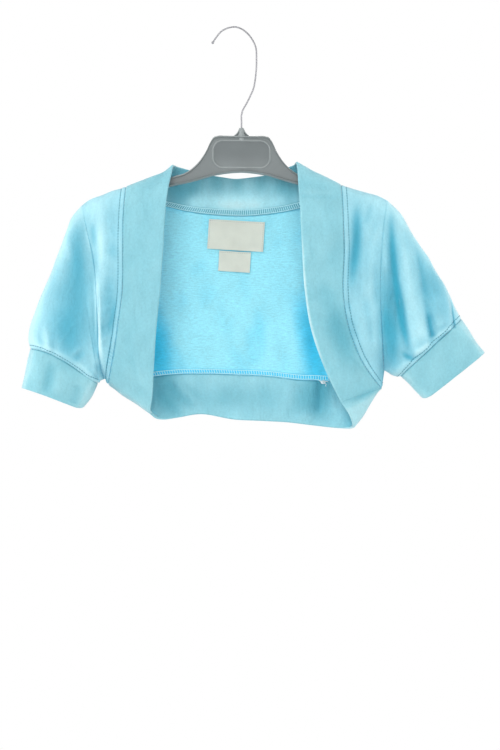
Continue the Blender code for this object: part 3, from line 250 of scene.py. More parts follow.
# The largest folds, as the paths of their middles seen from the front; a trough's depth is
# below zero and a ridge's above.
FOLDS = folds_on(FRONT, [
    ([(-169, -210), (-177, -262), (-182, -302)], 9, 2),
    ([(-170, -212), (-163, -238)], 3, 0.8),
    ([(-188, -294), (-184, -323)], 2.6, 1.2, 0, 0.5, 0.05),
    ([(-194, -298), (-191, -322)], 2.8, -0.8, 0, 0.5, 0.05),
    ([(-180, -296), (-178.5, -327)], 3.2, -1.1, 0, 0.5, 0.05),
    ([(-151, -318), (-163, -329)], 2.6, 1),
    ([(-181, -301), (-164, -283)], 2, 0.45),
    ([(-199, -316), (-181, -322), (-165, -329.5), (-151, -338.5),
      (-139, -348)], 3, 1.2, 0, 0.1, 0.1),
    ([(-147, -338), (-134, -353)], 2.2, -1.2),
    ([(-125, -234), (-124, -272), (-127, -314)], 5, -1.2),
    ([(-133, -180), (-132.5, -217), (-134, -247)], 4, 1.1),
    ([(-142, -194), (-138.5, -224)], 3, -1.3),
    ([(-134, -294), (-127, -310)], 2, -0.4),
    ([(-123, -198), (-118, -212)], 2, -0.5),
    ([(-173, -338), (-178, -369)], 6, 1.2),
    ([(-155, -354), (-161, -376)], 5, -1.6, 0, 0.3, 0.1),
    ([(-197, -330), (-202, -356)], 5, 0.6),
    ([(152, -252), (155, -292), (161, -326)], 7, -1.8),
    ([(164.5, -204), (173, -252), (180.5, -292), (185.5, -315)], 6, 1.8, 0, 0.25, 0.1),
    ([(177.5, -206), (183, -234), (186.7, -255), (190, -279), (192, -295),
      (196.5, -311)], 5, -2.8, 0.25, 0.3, 0.05),
    ([(180, -215), (186, -239)], 1.8, 0.5),
    ([(191, -284), (193, -297), (196, -310)], 3, -2, 0, 0.3, 0.08),
    ([(199, -264), (206, -300)], 6, 1.2, 0, 0.3, 0.15),
    ([(186, -266), (196, -282)], 2, 0.6),
    ([(194, -284), (200, -305)], 2, -0.7),
    ([(213, -262), (216, -285), (218, -302)], 2, -2.4, -0.3, 0.25, 0.05),
    ([(210, -264), (213, -287), (214, -300)], 2.2, 0.9),
    ([(175, -328), (185, -321.5), (195, -314)], 3, 2.4),
    ([(198, -310), (208, -303), (216, -297)], 3, 2),
    ([(160, -345), (165, -339), (170, -333)], 3.2, 1.4),
    ([(173, -334), (179, -329.5), (186, -324)], 1.5, -1.2, 0, 0.2),
    ([(197, -314.5), (205, -308.5), (215, -302)], 1.5, -1, 0, 0.2),
    ([(120, -176), (120.5, -204), (118, -230), (113.5, -258)], 4.6, -2.5),
    ([(134, -188), (135, -235), (132, -285)], 8, 2),
    ([(136, -176), (129, -200)], 3, -1),
    ([(142, -192), (131, -224)], 3.4, -0.9),
    ([(139, -230), (140, -284)], 3, -1),
    ([(129, -264), (136, -318)], 4, -1.1),
    ([(111, -288), (119, -300)], 2, -0.7),
    ([(115, -299), (123, -311)], 2, -0.7),
    ([(109, -272), (115, -284)], 2, -0.6),
    ([(73, -272), (95, -292)], 6, 0.9),
    ([(65, -170.5), (106, -172)], 2.2, -0.6, 0, 0.05),
    ([(65, -165.5), (103, -166.5)], 2.6, 0.4, 0, 0.05),
    ([(71, -204), (73, -240)], 4, 0.5),
    ([(73, -212), (77, -234)], 1.6, -0.5),
    ([(87, -302), (103, -344)], 6, 0.8),
    ([(-91, -172), (-89, -302)], 9, -0.6),
    ([(-107, -302), (-95, -352)], 7, -0.5),
]) + folds_on(BACK, [
    ([(-153, -195), (-156, -245), (-160, -280), (-160, -325)], 9, -5),
    ([(-192, -294), (-191, -321)], 2.6, -1.4, 0, 0.5, 0.05),
    ([(-185, -276), (-184, -324)], 3.6, -2.2, 0, 0.5, 0.05),
    ([(-178, -304), (-177, -327)], 2.4, 1.2, 0, 0.5, 0.05),
    ([(-170, -288), (-169, -331)], 3.2, -1.9, 0, 0.5, 0.05),
    ([(-162, -312), (-161, -335)], 2.4, 1.1, 0, 0.5, 0.05),
    ([(-153, -300), (-150, -342)], 3, -1.4, 0, 0.5, 0.05),
    ([(154, -190), (158, -240), (163, -290), (168, -338)], 8, -5),
    ([(178, -304), (180, -331)], 2.8, -1.4, 0, 0.5, 0.05),
    ([(189, -270), (192, -321)], 3.8, -2.3, 0, 0.5, 0.05),
    ([(198, -290), (201, -313)], 2.6, 1.2, 0, 0.5, 0.05),
    ([(206, -264), (210, -306)], 3.4, -2, 0, 0.5, 0.05),
    ([(214, -278), (218, -298)], 2.4, 1, 0, 0.5, 0.05),
    ([(173, -222), (179, -272), (185, -317)], 6, 1.8),
    ([(-105, -202), (-85, -272), (-85, -332)], 9, -1.5),
    ([(110, -197), (100, -272), (103, -327)], 9, -1.5),
    ([(-35, -212), (-29, -302)], 12, 0.8),
    ([(87, -350), (84, -387)], 4.2, 1.9, 0, 0.15, 0.2),
    ([(97, -356), (102, -388)], 4, -1.2),
    ([(-78, -356), (-46, -388)], 5, -1.4),
    ([(-72, -351), (-57, -366), (-37, -383)], 5, 1.8, 0, 0.15),
    ([(-56, -352), (-31, -374)], 4, 1),
    ([(-7, -352), (-13, -380)], 6, 0.7),
    ([(27, -352), (33, -384)], 6, 0.6),
    ([(51, -354), (57, -384)], 5, -0.6),
    ([(13, -290), (19, -348)], 8, 1.2),
    ([(37, -288), (42, -348)], 8, -1),
    ([(79, -302), (80, -352)], 6, 1.4),
    ([(96, -312), (98, -352)], 5, -1),
    ([(-61, -312), (-51, -348)], 6, 1.4),
    ([(-33, -298), (-28, -346)], 8, -0.9),
]) + folds_on(FRONT, [
    ([(-154, -190), (-156, -232), (-157, -272), (-156, -317)], 11, -2.4, 0, 0.35),
    ([(-137.5, -234), (-136, -272), (-135, -307), (-132, -334)], 3.2, 3.6, 0, 0.3, 0.15),
    ([(-143, -244), (-141.5, -282), (-140, -312), (-136.5, -340)], 4.4, 2.4, 0, 0.35, 0.1),
    ([(-146, -320), (-154, -327.5), (-162, -334)], 3.2, -0.8, 0, 0.4),
    ([(156, -178), (156, -212), (157.3, -237), (159.6, -262), (163.6, -283), (168, -304),
      (172, -321), (177.5, -333)], 5.4, -4.2, -0.2, 0.35, 0.04),
]) + folds_on(BACK, [
    ([(-19, -138), (-17.5, -171)], 8, 0.8, 0, 0.2, 0.6),
    ([(2, -140), (2, -170)], 7, 0.6, 0, 0.2, 0.6),
    ([(27, -138), (25, -170)], 8, 0.7, 0, 0.2, 0.6),
    ([(50, -138), (46, -171)], 7, 0.6, 0, 0.2, 0.6),
    ([(-41, -146), (-45, -172)], 6, 1.1, 0, 0.1, 0.6),
]) + folds_on(FRONT, [
    ([(96, -280), (106, -308), (118, -336)], 8, -1.1, 0, 0.4, 0.4),
    ([(79, -256), (91, -264), (105, -275)], 6.5, -1, 0, 0.4, 0.4),
]) + folds_on(BACK, [
    ([(78, -352), (73, -396)], 7.5, -2.6, 0, 0.1, 0.2),
]) + folds_on(FRONT, [
    ([(-181, -328), (-184, -346), (-189, -368)], 5.4, -1.6, 0.1, 0.35, 0.2),
    ([(-134, -231), (-127, -239), (-118, -247)], 2.2, -0.4),
    ([(-131, -253), (-125, -251), (-116, -255)], 1.6, -0.3),
    ([(-133, -264), (-127, -267), (-118, -268)], 2, 0.4),
    ([(-129, -222), (-121, -228)], 2.4, -0.5),
    ([(-132, -275), (-125, -276), (-117, -273)], 1.5, -0.35),
    ([(-131, -289), (-125, -284), (-118, -281)], 1.7, -0.45),
    ([(-133, -303), (-127, -298), (-122, -294)], 1.7, -0.5),
    ([(-134, -317), (-129, -311), (-124, -307)], 1.6, 0.4),
    ([(-169, -272), (-161, -257), (-156, -234)], 1.8, 0.5),
    ([(-177, -324), (-165, -305), (-153, -290)], 2, 0.5),
    ([(149, -204), (151, -272), (153, -324)], 2.4, 0.7),
    ([(201, -234), (208, -262)], 2.2, 0.6),
    ([(127, -212), (128, -272)], 2.2, 0.5),
    ([(137, -294), (141, -324)], 2, 0.6),
    ([(110, -324), (125, -340), (137, -352)], 2.2, -0.6),
    ([(-115, -180), (-114, -234)], 3, 0.4),
    ([(-100, -320), (-89, -364)], 2.4, 0.5),
])

# Painted shade on the cloth's outer or inner face, where folds, bands and corners shade it;
# rows below zero are painted highlights on ridges and edges.
PAINTED_SHADE_ENDS = (0.0, 0.45, 0.45)
PAINTED_SHADE_AND_HIGHLIGHT = {OUTER: folds_on(FRONT, [
    ([(178, -212), (186, -252), (192, -292)], 3.5, 0.25),
    ([(-141, -194), (-139, -222)], 3, 0.3),
    ([(-129, -234), (-127, -272), (-131, -322)], 8, 0.3),
    ([(-137.5, -234), (-136.5, -272), (-135, -307), (-131, -338)], 2.6, -0.35),
    ([(-151, -184), (-146, -212), (-141, -234)], 1.6, -0.25),
    ([(165, -208), (172, -257), (179, -302)], 5, -0.15),
    ([(175, -367), (190, -352)], 10, 0.12),
    ([(-158, -184), (-156, -222), (-155, -272)], 7, 0.95),
    ([(-155, -222), (-157, -277), (-155, -338)], 14, 0.9),
    ([(-167, -222), (-175, -272), (-179, -327)], 12, 0.45),
    ([(149, -222), (154, -290), (164, -348)], 9, 1.1),
    ([(155, -177), (157.6, -234), (163, -276), (168.6, -306), (172, -320),
      (177, -330)], 2.6, 2.1),
    ([(191, -218), (202, -272), (205, -317)], 12, 0.7),
    ([(160, -247), (164, -275), (168.6, -304), (174, -324)], 3.6, 1.9),
    ([(190, -276), (196, -322)], 3.2, 0.9),
    ([(121, -168), (120.5, -207), (113, -272)], 4.6, 1.3),
    ([(87, -257), (105, -307), (119, -350)], 11, 0.75),
    ([(-181, -330), (-188, -368)], 6, 0.25),
    ([(163, -172), (175, -234), (189, -302)], 26, 0.15),
    ([(127, -172), (127, -228), (123, -282)], 10, 0.3),
    ([(-171, -272), (-165, -312), (-155, -344)], 11, 0.85),
    ([(149, -272), (154, -317), (159, -354)], 7.5, 1.1),
    ([(149, -272), (151, -317)], 3, 0.5),
    ([(-117, -268), (-121, -290), (-126, -310)], 2.6, 0.6),
    ([(-122, -212), (-118, -236)], 4, 0.25),
    ([(-148, -322), (-156, -331), (-163, -336)], 3.4, 0.2),
    ([(64, -150), (65.5, -180), (67.5, -222), (70, -262), (75.5, -298), (84.5, -327), (95, -352),
      (103, -368), (117, -392)], 1.2, -0.6),
    ([(-138, -234), (-137, -272), (-136.5, -307), (-134, -334)], 2.2, -0.3),
    ([(146, -357), (127, -367), (109, -375)], 2.4, 0.5),
    ([(165, -322), (171, -329), (180, -332)], 2.4, 1.1),
], PAINTED_SHADE_ENDS), INNER: folds_on(BACK, [
    ([(68, -222), (73, -272)], 5, 0.25),
    ([(19, -264), (25, -302), (28, -344)], 6, 0.22),
    ([(37, -258), (49, -302), (53, -338)], 9, -0.3),
    ([(-51, -286), (-31, -312), (-21, -340)], 13, -0.25),
    ([(-13, -316), (1, -328), (11, -348)], 7, 0.14),
    ([(-97, -254), (-83, -307), (-74, -348), (-63, -384)], 13, 1.9),
    ([(65, -252), (77, -307), (86, -352), (93, -388)], 12, 1.6),
    ([(87, -340), (75, -400)], 15, 1.4),
    ([(-73, -152), (-39, -170)], 12, 1),
    ([(43, -150), (67, -172)], 10, 0.6),
    ([(5, -272), (9, -352)], 30, 0.05),
    ([(-115, -364), (5, -371), (115, -372)], 16, 0.35),
    ([(-89, -352), (-71, -370), (-45, -388)], 12, 1),
    ([(-21, -132), (-18, -170)], 6.5, 0.42),
    ([(3, -132), (2, -168)], 6, 0.34),
    ([(27, -132), (24, -168)], 6.5, 0.3),
    ([(49, -132), (44, -170)], 6.5, 0.36),
    ([(-39, -138), (-43, -172)], 8, 0.4),
    ([(-59, -170), (5, -175), (65, -172)], 10, -0.5),
    ([(-69, -212), (-55, -217), (-51, -242)], 16, -0.25),
    ([(51, -212), (57, -242), (61, -262)], 16, -0.35),
], PAINTED_SHADE_ENDS)}

# How much painted shade comes from the form: the reaches at which cloth is compared with its
# surroundings and their shares, the painted shade of hollows, the palest painted highlight on
# a ridge, and the painted shade of the seams' grooves and painted highlight on their ridges.
HOLLOW_REACHES = [(4.0, 0.5), (11.0, 0.5)]
HOLLOW_SHADE = 0.2
PALEST = 0.4
GROOVE_SHADE = 0.14
RIDGE_PAINTED_HIGHLIGHT = 0.05
BLUR_ROUNDS = 3

# Sewing. Each seam is a groove where two pieces turn in, with a low lip beside it; the allowance
# under a topstitched side stands up a little as far as its stitch line.
SEAM_SEED = 11
# Where a seam's low end takes over: how steeply along it, and from where.
LOW_END_SLOPE = 3
LOW_END_START = 1.4
GROOVE_DEPTH = 0.85
GROOVE_WIDTH = 0.5
GROOVE_INSIDE = 0.8
STITCH_GROOVE = 0.65
STITCH_GROOVE_WIDTH = 0.5
LIP_HEIGHT = 0.08
LIP_AWAY = 1.9
LIP_WIDTH = 0.9
ALLOWANCE_HEIGHT = 0.12
ALLOWANCE_SLOPES = (1.6, 0.4, 1.4)
PUCKER_LENGTH = 3.6
PUCKER_WOBBLE = 0.12
PUCKER_SWELL = (0.6, 0.4, 37.0)
PUCKER_REACH = 5.0
PUCKER_START = 1.2

# The seams of each piece. A row is the side, how far in its stitch line runs (0 for none), the
# height of its puckers, how much stronger both are at its low end, and the depth of its groove.
Seam = namedtuple("Seam", "piece side stitch pucker low groove", defaults=(0.0, 1.0))
SEAMS = [Seam(piece, *row) for piece, rows in {
    "back": [("first_row", 0.0, 0.08), ("last_row", 5.0, 0.12),
             ("first_column", 0.0, 0.05), ("last_column", 0.0, 0.05)],
    "front_left": [("first_row", 0.0, 0.05), ("last_row", 0.0, 0.0),
                   ("first_column", 5.2, 0.36, 0.9), ("last_column", 0.0, 0.08, 0.0, 0.3)],
    "front_right": [("first_row", 0.0, 0.05), ("last_row", 0.0, 0.0),
                    ("first_column", 5.2, 0.22, 0.4), ("last_column", 0.0, 0.08, 0.0, 0.5)],
    "neck_band": [("first_row", 0.0, 0.10), ("first_column", 0.0, 0.05, 0.0, 0.5),
                  ("last_column", 0.0, 0.05, 0.0, 0.5)],
    "hem_band": [("first_row", 0.0, 0.10), ("first_column", 0.0, 0.05, 0.0, 0.5),
                 ("last_column", 0.0, 0.05, 0.0, 0.5)],
    "sleeve_left": [("first_row", 0.0, 0.10, 0.0, 0.3), ("last_row", 4.2, 0.22, 0.0, 0.7)],
    "sleeve_right": [("first_row", 0.0, 0.10, 0.0, 0.5), ("last_row", 4.2, 0.28, 0.0, 0.7)],
    "cuff_left": [("first_row", 0.0, 0.08, 0.0, 0.6)],
    "cuff_right": [("first_row", 0.0, 0.08, 0.0, 0.6)],
}.items() for row in rows]

# The overlocked allowances inside: how far each reaches, its first and last step along the
# seam, the pitch of its rungs and how much painted shade lies on it under the rungs.
Allowance = namedtuple("Allowance", "piece side height first last pitch shade")
ALLOWANCES = [
    Allowance("neck_band", "first_row", 5.6, FRONT_ROWS, FRONT_ROWS + NECK_STEPS, 2.2, 1.0),
    Allowance("back", "last_row", 5.0, 0, NECK_STEPS + 2 * RIDGE_STEPS, 2.5, 1.2),
    Allowance("back", "first_column", 5.0, 20, BACK_ROWS + SIDE_ROWS, 2.5, 1.2),
    Allowance("back", "last_column", 5.0, 20, BACK_ROWS + SIDE_ROWS, 2.5, 1.2),
]
ALLOWANCE_RISE = 1.0
ALLOWANCE_EDGE = 0.9
ALLOWANCE_FADE = 6.0
ALLOWANCE_WAVES = [(0.18, 23.0), (0.12, 8.3)]

# Threads
THREAD_SIDES = 6
THREAD_TAPER = 0.65
THREAD_RADIUS = 0.34
STITCH_STEPS = 5
STITCH_LIFT = 0.2
STITCH_SUNK = 0.06
STITCH_START = 1.0
STITCH_PITCH = 2.9
STITCH_LENGTH = 2.1
RUNG_STEPS = 6
RUNG_RADIUS = 0.42
RUNG_SLANT = 0.5
RUNG_LIFT = 0.5
RUNG_START = 0.5
RUNG_LOWEST = 0.05
# The loops along both sides of the rungs: their length in pitches, and how they rise.
LOOP_LENGTH = 1.15
LOOP_RISE = (0.1, 0.25)
LOOP_SLIMNESS = 0.9
FIRST_LOOP_AWAY = 0.9
# The second line of stitches beside the band, which closes the front's seam; its dark thread
# in the seam's ditch also stands for the shade there.
CLOSING_STITCH = (0.2, 3.1, 2.2, 0.3)
NECK_STITCH_AWAY = 4.2

KNOT_X = 89.0
KNOT_SPREAD = 1.6
KNOT_BELOW_SEAM = 1.5
KNOT_STEPS = 40
# Threads of the knot as points right, up and out from its middle, with their radius.
KNOT_THREADS = [
    ([(-1.6, 0.4, 0.5), (-0.4, 1.3, 1.0), (1.0, 0.9, 1.5), (1.2, -0.5, 1.1), (0.0, -1.2, 1.5),
      (-1.2, -0.5, 1.0), (-0.8, 0.8, 1.6), (0.7, 1.1, 1.0), (1.5, 0.2, 0.5)], 0.42),
    ([(0.9, -0.4, 1.2), (0.1, 0.3, 1.9), (-0.9, 0.1, 1.4), (-0.3, -0.9, 1.1), (0.8, -0.9, 1.6)],
     0.42),
    ([(-1.0, 0.6, 1.0), (-2.2, 1.6, 1.2), (-2.9, 3.0, 0.8), (-2.4, 4.0, 0.6)], 0.3),
    ([(0.8, -0.8, 1.0), (1.9, -2.0, 1.3), (1.6, -3.4, 0.8), (2.3, -4.6, 0.6)], 0.3),
    ([(0.9, 0.6, 1.0), (2.2, 1.0, 1.4), (3.2, 0.2, 1.0)], 0.3),
]

# The labels inside the back neck: middle and size as seen from the front, and the sewn sides.
Label = namedtuple("Label", "middle size sewn")
LABELS = {
    "neck_label": Label((0.9, -206.2), (56.5, 30.0), ("first_row", "first_column", "last_column")),
    "size_label": Label((-0.6, -232.6), (32.0, 20.5), ("first_row",)),
}
LABEL_TILT = math.radians(-3.4)
LABEL_STEPS = (56, 30)
LABEL_CLEARANCE = 0.9
LABEL_LIFT = 0.5
LABEL_CURL = 0.25
LABEL_WAVE = 0.18
# How its wave turns along u and v, in radians for each millimetre, and where it starts.
LABEL_WAVE_RATES = (0.21, 0.1, 0.16, 1.0)
# Rays towards the back start from this depth, and a label faces away from a point behind it.
RAY_START = -5.0
LABEL_AXIS_BEHIND = 50.0
LABEL_STITCH_IN = 1.4
LABEL_STITCH = (2.2, 1.5, 0.16)

# The hanger. Its outline is symmetrical about the stem of the hook. A row is a distance out
# from the stem, and the heights of the top and the bottom there.
STEM_X = 6.5
HANGER_HALF_THICK = 5.0
HANGER_TILT = math.radians(-0.6)
HANGER_OUTLINE = [
    (0.0, -108.2, -144.5), (14.0, -108.2, -145.6), (24.0, -108.4, -147.2), (28.0, -110.0, -148.0),
    (31.0, -114.5, -149.0), (35.0, -123.0, -150.2), (41.0, -132.5, -152.0), (48.0, -140.0, -154.0),
    (56.0, -145.6, -156.0), (66.0, -148.8, -158.2), (78.0, -152.0, -161.6), (92.0, -157.6, -167.2),
    (104.0, -162.8, -172.2), (116.0, -167.8, -177.0), (126.0, -172.2, -181.0),
    (131.0, -175.0, -182.2), (134.0, -177.6, -181.6),
]
HANGER_MIDDLE = 38
HANGER_STATIONS = (110, 150)
HANGER_STEPS = 64
HANGER_CROWDING = 0.5
HANGER_EDGE = 2.2
# The recess between the rims starts a little in from the edge, where the hanger is tall enough.
HANGER_RECESS = 1.5
RECESS_FROM_EDGE = (1.6, 0.8)
RECESS_FROM_HEIGHT = (6.0, 3.0)
PAD_SIZE = (57.0, 27.0)
PAD_MIDDLE_Z = -126.5
PAD_ROUNDING = 10.0
PAD_BEAD = 0.8
PAD_BEAD_WIDTH = 0.55
PAD_SUNK = 0.25
# Painted light on the plastic: its base share everywhere, painted highlights on the bead and on
# the top and bottom rims, and painted shade inside the bead towards its top.
PAINTED_LIGHT_BASE = 0.16
BEAD_HIGHLIGHT = (0.55, 0.7)
TOP_HIGHLIGHT = (0.5, 0.5, 1.0)
LOW_HIGHLIGHT = (0.35, 0.4, 0.9)
PAD_SHADE = (1.5, -142.0, 18.0)
# Painted highlights on the boss and on the ribs beside it.
BOSS_HIGHLIGHT = 0.6
RIB_HIGHLIGHT = 0.7

# The boss that the hook goes into, as radius and height, and the gussets beside it.
BOSS_PROFILE = [
    (0.0, -113.0), (4.2, -113.0), (4.2, -108.6), (3.6, -107.2), (3.1, -104.5), (2.6, -101.2),
    (2.2, -100.1), (1.35, -99.8), (1.25, -101.0), (0.0, -101.0),
]
BOSS_SIDES = 28
GUSSET_HALF = 0.5
GUSSET_OUTLINE = [
    (1.0, -108.8), (6.8, -108.8), (6.8, -108.2), (4.4, -106.3), (2.0, -103.4), (1.0, -103.4),
]
RIB_PATH = [(7.6, -108.4), (5.2, -106.4), (3.2, -103.8), (2.3, -101.6)]
RIB_STEPS = 12
RIB_PLACES = (-1.1, 0.0, 1.1)
RIB_RADIUS = 0.55

HOOK_PATH = [
    (-22.9, -15.8), (-18.0, -8.4), (-13.5, -3.3), (-8.0, -0.3), (-3.3, 0.9), (0.0, 1.1),
    (3.7, 0.3), (12.0, -5.0), (17.5, -12.0), (21.0, -20.5), (21.5, -29.4), (20.3, -51.0),
    (18.7, -60.0), (15.2, -68.3), (11.3, -76.0), (7.5, -83.0), (6.5, -87.4), (6.5, -94.0),
    (6.5, -105.5),
]
HOOK_STEPS = 150
HOOK_SIDES = 14
HOOK_WIRE_RADIUS = 0.8
HOOK_TIP_RADII = (0.7, 1.35, 1.2)

# The flat cut of what shows of each piece: its width and length, its area, and how it is held.
Cut = namedtuple("Cut", "width length area held rests_on")

# Colours and finishes
# Each cloth goes from its pale colour where light falls full to its deeper colour in painted
# shade; every part starts with some painted shade, and the palest parts take a painted highlight.
BASE_SHADE = 0.3
SHADE_BEND = 1.25
WALE = 0.0010
COURSE = 0.0008
PAINTED_HIGHLIGHT = (0.78, 0.98, 1.0, 1.0)
JERSEY_PALE = (0.44, 0.78, 0.87, 1.0)
JERSEY_PAINTED_SHADE = (0.045, 0.375, 0.525, 1.0)
BAND_PALE = (0.33, 0.66, 0.74, 1.0)
BAND_PAINTED_SHADE = (0.08, 0.38, 0.49, 1.0)
# A paler copy of the band's colour for its inner faces: painted light against the shade they lie
# in.
BAND_INSIDE_PAINTED_LIGHT = (0.45, 0.83, 0.92, 1.0)
FLEECE_PALE = (0.35, 0.86, 1.0, 1.0)
FLEECE_PAINTED_SHADE = (0.02, 0.64, 0.97, 1.0)
# The plastic's colours in painted shade and in painted highlight.
PLASTIC_PAINTED_SHADE = (0.125, 0.148, 0.152, 1.0)
PLASTIC_PAINTED_HIGHLIGHT = (0.40, 0.44, 0.44, 1.0)
LABEL_CREAM = (0.66, 0.70, 0.62)
WIRE_STEEL = (0.36, 0.36, 0.38)
# Each kind of sewing: the name and colour of its thread, and how uneven its tone is.
THREADS = {
    "topstitch": ("thread", (0.06, 0.24, 0.33), 0.06),
    "overlock": ("overlock_thread", (0.52, 0.88, 0.96), 0.06),
    "stitch": ("label_thread", (0.40, 0.46, 0.43), 0.04),
    "knot": ("white_thread", (0.86, 0.92, 0.93), 0.04),
}
# The middle part of a noise's range, which its tones are spread over.
NOISE_MIDDLE = (0.3, 0.7)
OCCLUSION_SAMPLES = 12
# How far a stitch's leg slants, in courses for each wale across.
LEG_SLANT = 1.7
KNIT_FINISH = {"Roughness": 0.88, "Specular IOR Level": 0.25, "Sheen Weight": 0.9,
               "Sheen Roughness": 0.32, "Sheen Tint": (0.85, 0.97, 1.0, 1.0)}
FLEECE_FINISH = {"Roughness": 0.95, "Specular IOR Level": 0.15, "Sheen Weight": 0.4,
                 "Sheen Roughness": 0.6}
SATIN_FINISH = {"Roughness": 0.55, "Sheen Weight": 0.2}
TAPE_RIB = 0.0006
TAPE_WARP = 0.0005

# The stage. A light's row is its name, its place, the height at which it aims above the origin,
# its size and its power.
SKY_LIGHT = 0.48
FLOOR_Z = -1.1
FLOOR_HALF = 12.0
LIGHTS = [
    ("key", (-0.9, -2.2, 0.8), -0.30, (1.1, 1.1), 19.0),
    ("front", (0.2, -2.4, -0.1), -0.28, (1.2, 1.2), 13.0),
    ("top", (-0.3, -0.4, 1.4), -0.30, (1.2, 0.8), 7.0),
    ("left_side", (-2.0, -0.5, -0.3), -0.30, (0.9, 1.4), 10.5),
    ("right_side", (2.0, -0.5, -0.3), -0.30, (0.9, 1.4), 10.0),
    ("left_edge", (-1.9, 0.5, -0.3), -0.30, (0.8, 1.6), 8.5),
    ("right_edge", (1.9, 0.5, -0.3), -0.30, (0.8, 1.6), 8.5),
    ("back", (0.4, 2.4, 0.5), -0.30, (1.2, 1.2), 19.0),
]
CAMERA_TARGET = (0.015, 0.0, -0.347)
CAMERA_DISTANCE = 2.1
FRAME_HEIGHT = 0.75
SENSOR = 36.0


def glide(knots, rows, places):
    """Read a smooth curve through rows, one row of points at each knot, at the given places."""
    knots = np.asarray(knots, float)
    rows = np.asarray(rows, float)
    places = np.asarray(places, float)
    steps = np.diff(knots).reshape((-1,) + (1,) * (rows.ndim - 1))
    chords = np.diff(rows, axis=0) / steps
    slopes = np.concatenate([chords[:1], chords])
    slopes[1:-1] = (chords[:-1] * steps[1:] + chords[1:] * steps[:-1]) / (steps[:-1] + steps[1:])
    slopes[0] = 1.5 * chords[0] - 0.5 * slopes[1]
    slopes[-1] = 1.5 * chords[-1] - 0.5 * slopes[-2]
    span = np.clip(np.searchsorted(knots, places, side="right") - 1, 0, len(knots) - 2)
    width = np.diff(knots)[span]
    t = ((places - knots[span]) / width).reshape((-1,) + (1,) * (rows.ndim - 1))
    width = width.reshape(t.shape)
    return ((1 + 2 * t) * (1 - t) ** 2 * rows[span] + t * (1 - t) ** 2 * width * slopes[span]
            + t * t * (3 - 2 * t) * rows[span + 1] + t * t * (t - 1) * width * slopes[span + 1])


def knots_of(rows):
    """Distances along a list of points, or the mean distances along a list of sections."""
    steps = np.linalg.norm(np.diff(np.asarray(rows, float), axis=0), axis=-1)
    while steps.ndim > 1:
        steps = steps.mean(axis=-1)
    return np.concatenate([[0.0], np.cumsum(steps)])


def crowded(count, crowding):
    """Fractions from 0 to 1 in count steps, closer together towards both ends."""
    even = np.linspace(0.0, 1.0, count + 1)
    rounded = (1 - np.cos(math.pi * even)) / 2
    return even + (rounded - even) * crowding


def curve(points, count, crowding=0.0):
    """A smooth curve through points, in count steps."""
    knots = knots_of(points)
    return glide(knots, points, crowded(count, crowding) * knots[-1])


def smooth_step(value):
    value = np.clip(value, 0.0, 1.0)
    return value * value * (3 - 2 * value)


def unit(vectors):
    return vectors / np.maximum(np.linalg.norm(vectors, axis=-1, keepdims=True), 1e-9)


def bell(value):
    """1 at 0, falling smoothly to nothing on both sides."""
    return np.exp(-value ** 2)


def cells_of(array):
    """The values at the four corners of every cell of a grid."""
    return np.stack([array[:-1, :-1], array[:-1, 1:], array[1:, 1:], array[1:, :-1]], axis=2)


def band_sections(stations, stretches):
    """Seam and edge points of a band, and its bow. A stretch is (first, last, steps, crowding)."""
    table = np.array(stations)
    rows = table[:, :6].reshape((-1, 2, 3))
    knots = knots_of(rows)
    places = [knots[stretches[0][0]]]
    for first, last, steps, crowding in stretches:
        span = knots[last] - knots[first]
        places.extend(knots[first] + crowded(steps, crowding)[1:] * span)
    return glide(knots, rows, places), glide(knots, table[:, 6], places)


def spanned(top, bottom, left, right):
    """A grid between four curves that meet at their ends; rows run from top to bottom."""
    down = np.linspace(0, 1, len(left))[:, None, None]
    across = np.linspace(0, 1, len(top))[None, :, None]
    corners = ((1 - down) * ((1 - across) * top[0] + across * top[-1])
               + down * ((1 - across) * bottom[0] + across * bottom[-1]))
    return ((1 - down) * top[None] + down * bottom[None]
            + (1 - across) * left[:, None] + across * right[:, None] - corners)


def front_panel(ridge, band_seam, armhole, rolls):
    """A front, from the band's seam across to the armhole, with its outer part rolled over."""
    side = band_seam[-1] + np.linspace(0, 1, len(ridge))[:, None] * (armhole[-1] - band_seam[-1])
    grid = spanned(ridge, side, band_seam, armhole)
    across = np.linspace(0, 1, len(ridge))[None, :]
    down = np.linspace(0, 1, len(armhole))[:, None]
    if rolls:
        reaches = [(row.out, row.forward) for row in rolls]
        roll = glide([row.at for row in rolls], reaches, down.ravel())
        crest = bell((across - ROLL_CREST) / ROLL_WIDTH) * across * (1 - across) * 4
        outward = np.sign(armhole[0][0] - ridge[0][0])
        grid[:, :, 0] += outward * roll[:, :1] * crest
        grid[:, :, 1] -= roll[:, 1:] * crest
    return grid


def back_depth(below, start):
    """How far back the cloth lies, at a distance below where it starts at the given depth."""
    near = np.clip(below / ROOF_RADIUS, 0, 1)
    roof = ROOF_RADIUS * np.sqrt(1 - (1 - near) ** 2)
    far = np.clip(below - ROOF_RADIUS, 0, None)
    depth = roof + (BODY_DEPTH - ROOF_RADIUS) * (1 - np.exp(-far / BODY_SPREAD))
    return start + (BODY_DEPTH - start) * depth / BODY_DEPTH


def back_panel(top, hem_seam, left, right):
    """The back. Its depth follows the shoulders, and eases into the side and hem seams."""
    grid = spanned(top, hem_seam, left, right)
    across = np.linspace(0, 1, len(top))[None, :]
    down = np.linspace(0, 1, len(left))[:, None]
    below = top[None, :, 2] - grid[:, :, 2]
    depth = back_depth(below, top[None, :, 1])
    near_left = 1 - smooth_step(across / SIDE_REACH)
    near_right = 1 - smooth_step((1 - across) / SIDE_REACH)
    from_left = left[:, None, 1] - depth[:, :1]
    from_right = right[:, None, 1] - depth[:, -1:]
    from_hem = hem_seam[None, :, 1] - depth[-1:, :]
    from_hem = from_hem - near_left * from_left[-1] - near_right * from_right[-1]
    grid[:, :, 1] = depth + near_left * from_left + near_right * from_right + down ** 2 * from_hem
    return grid


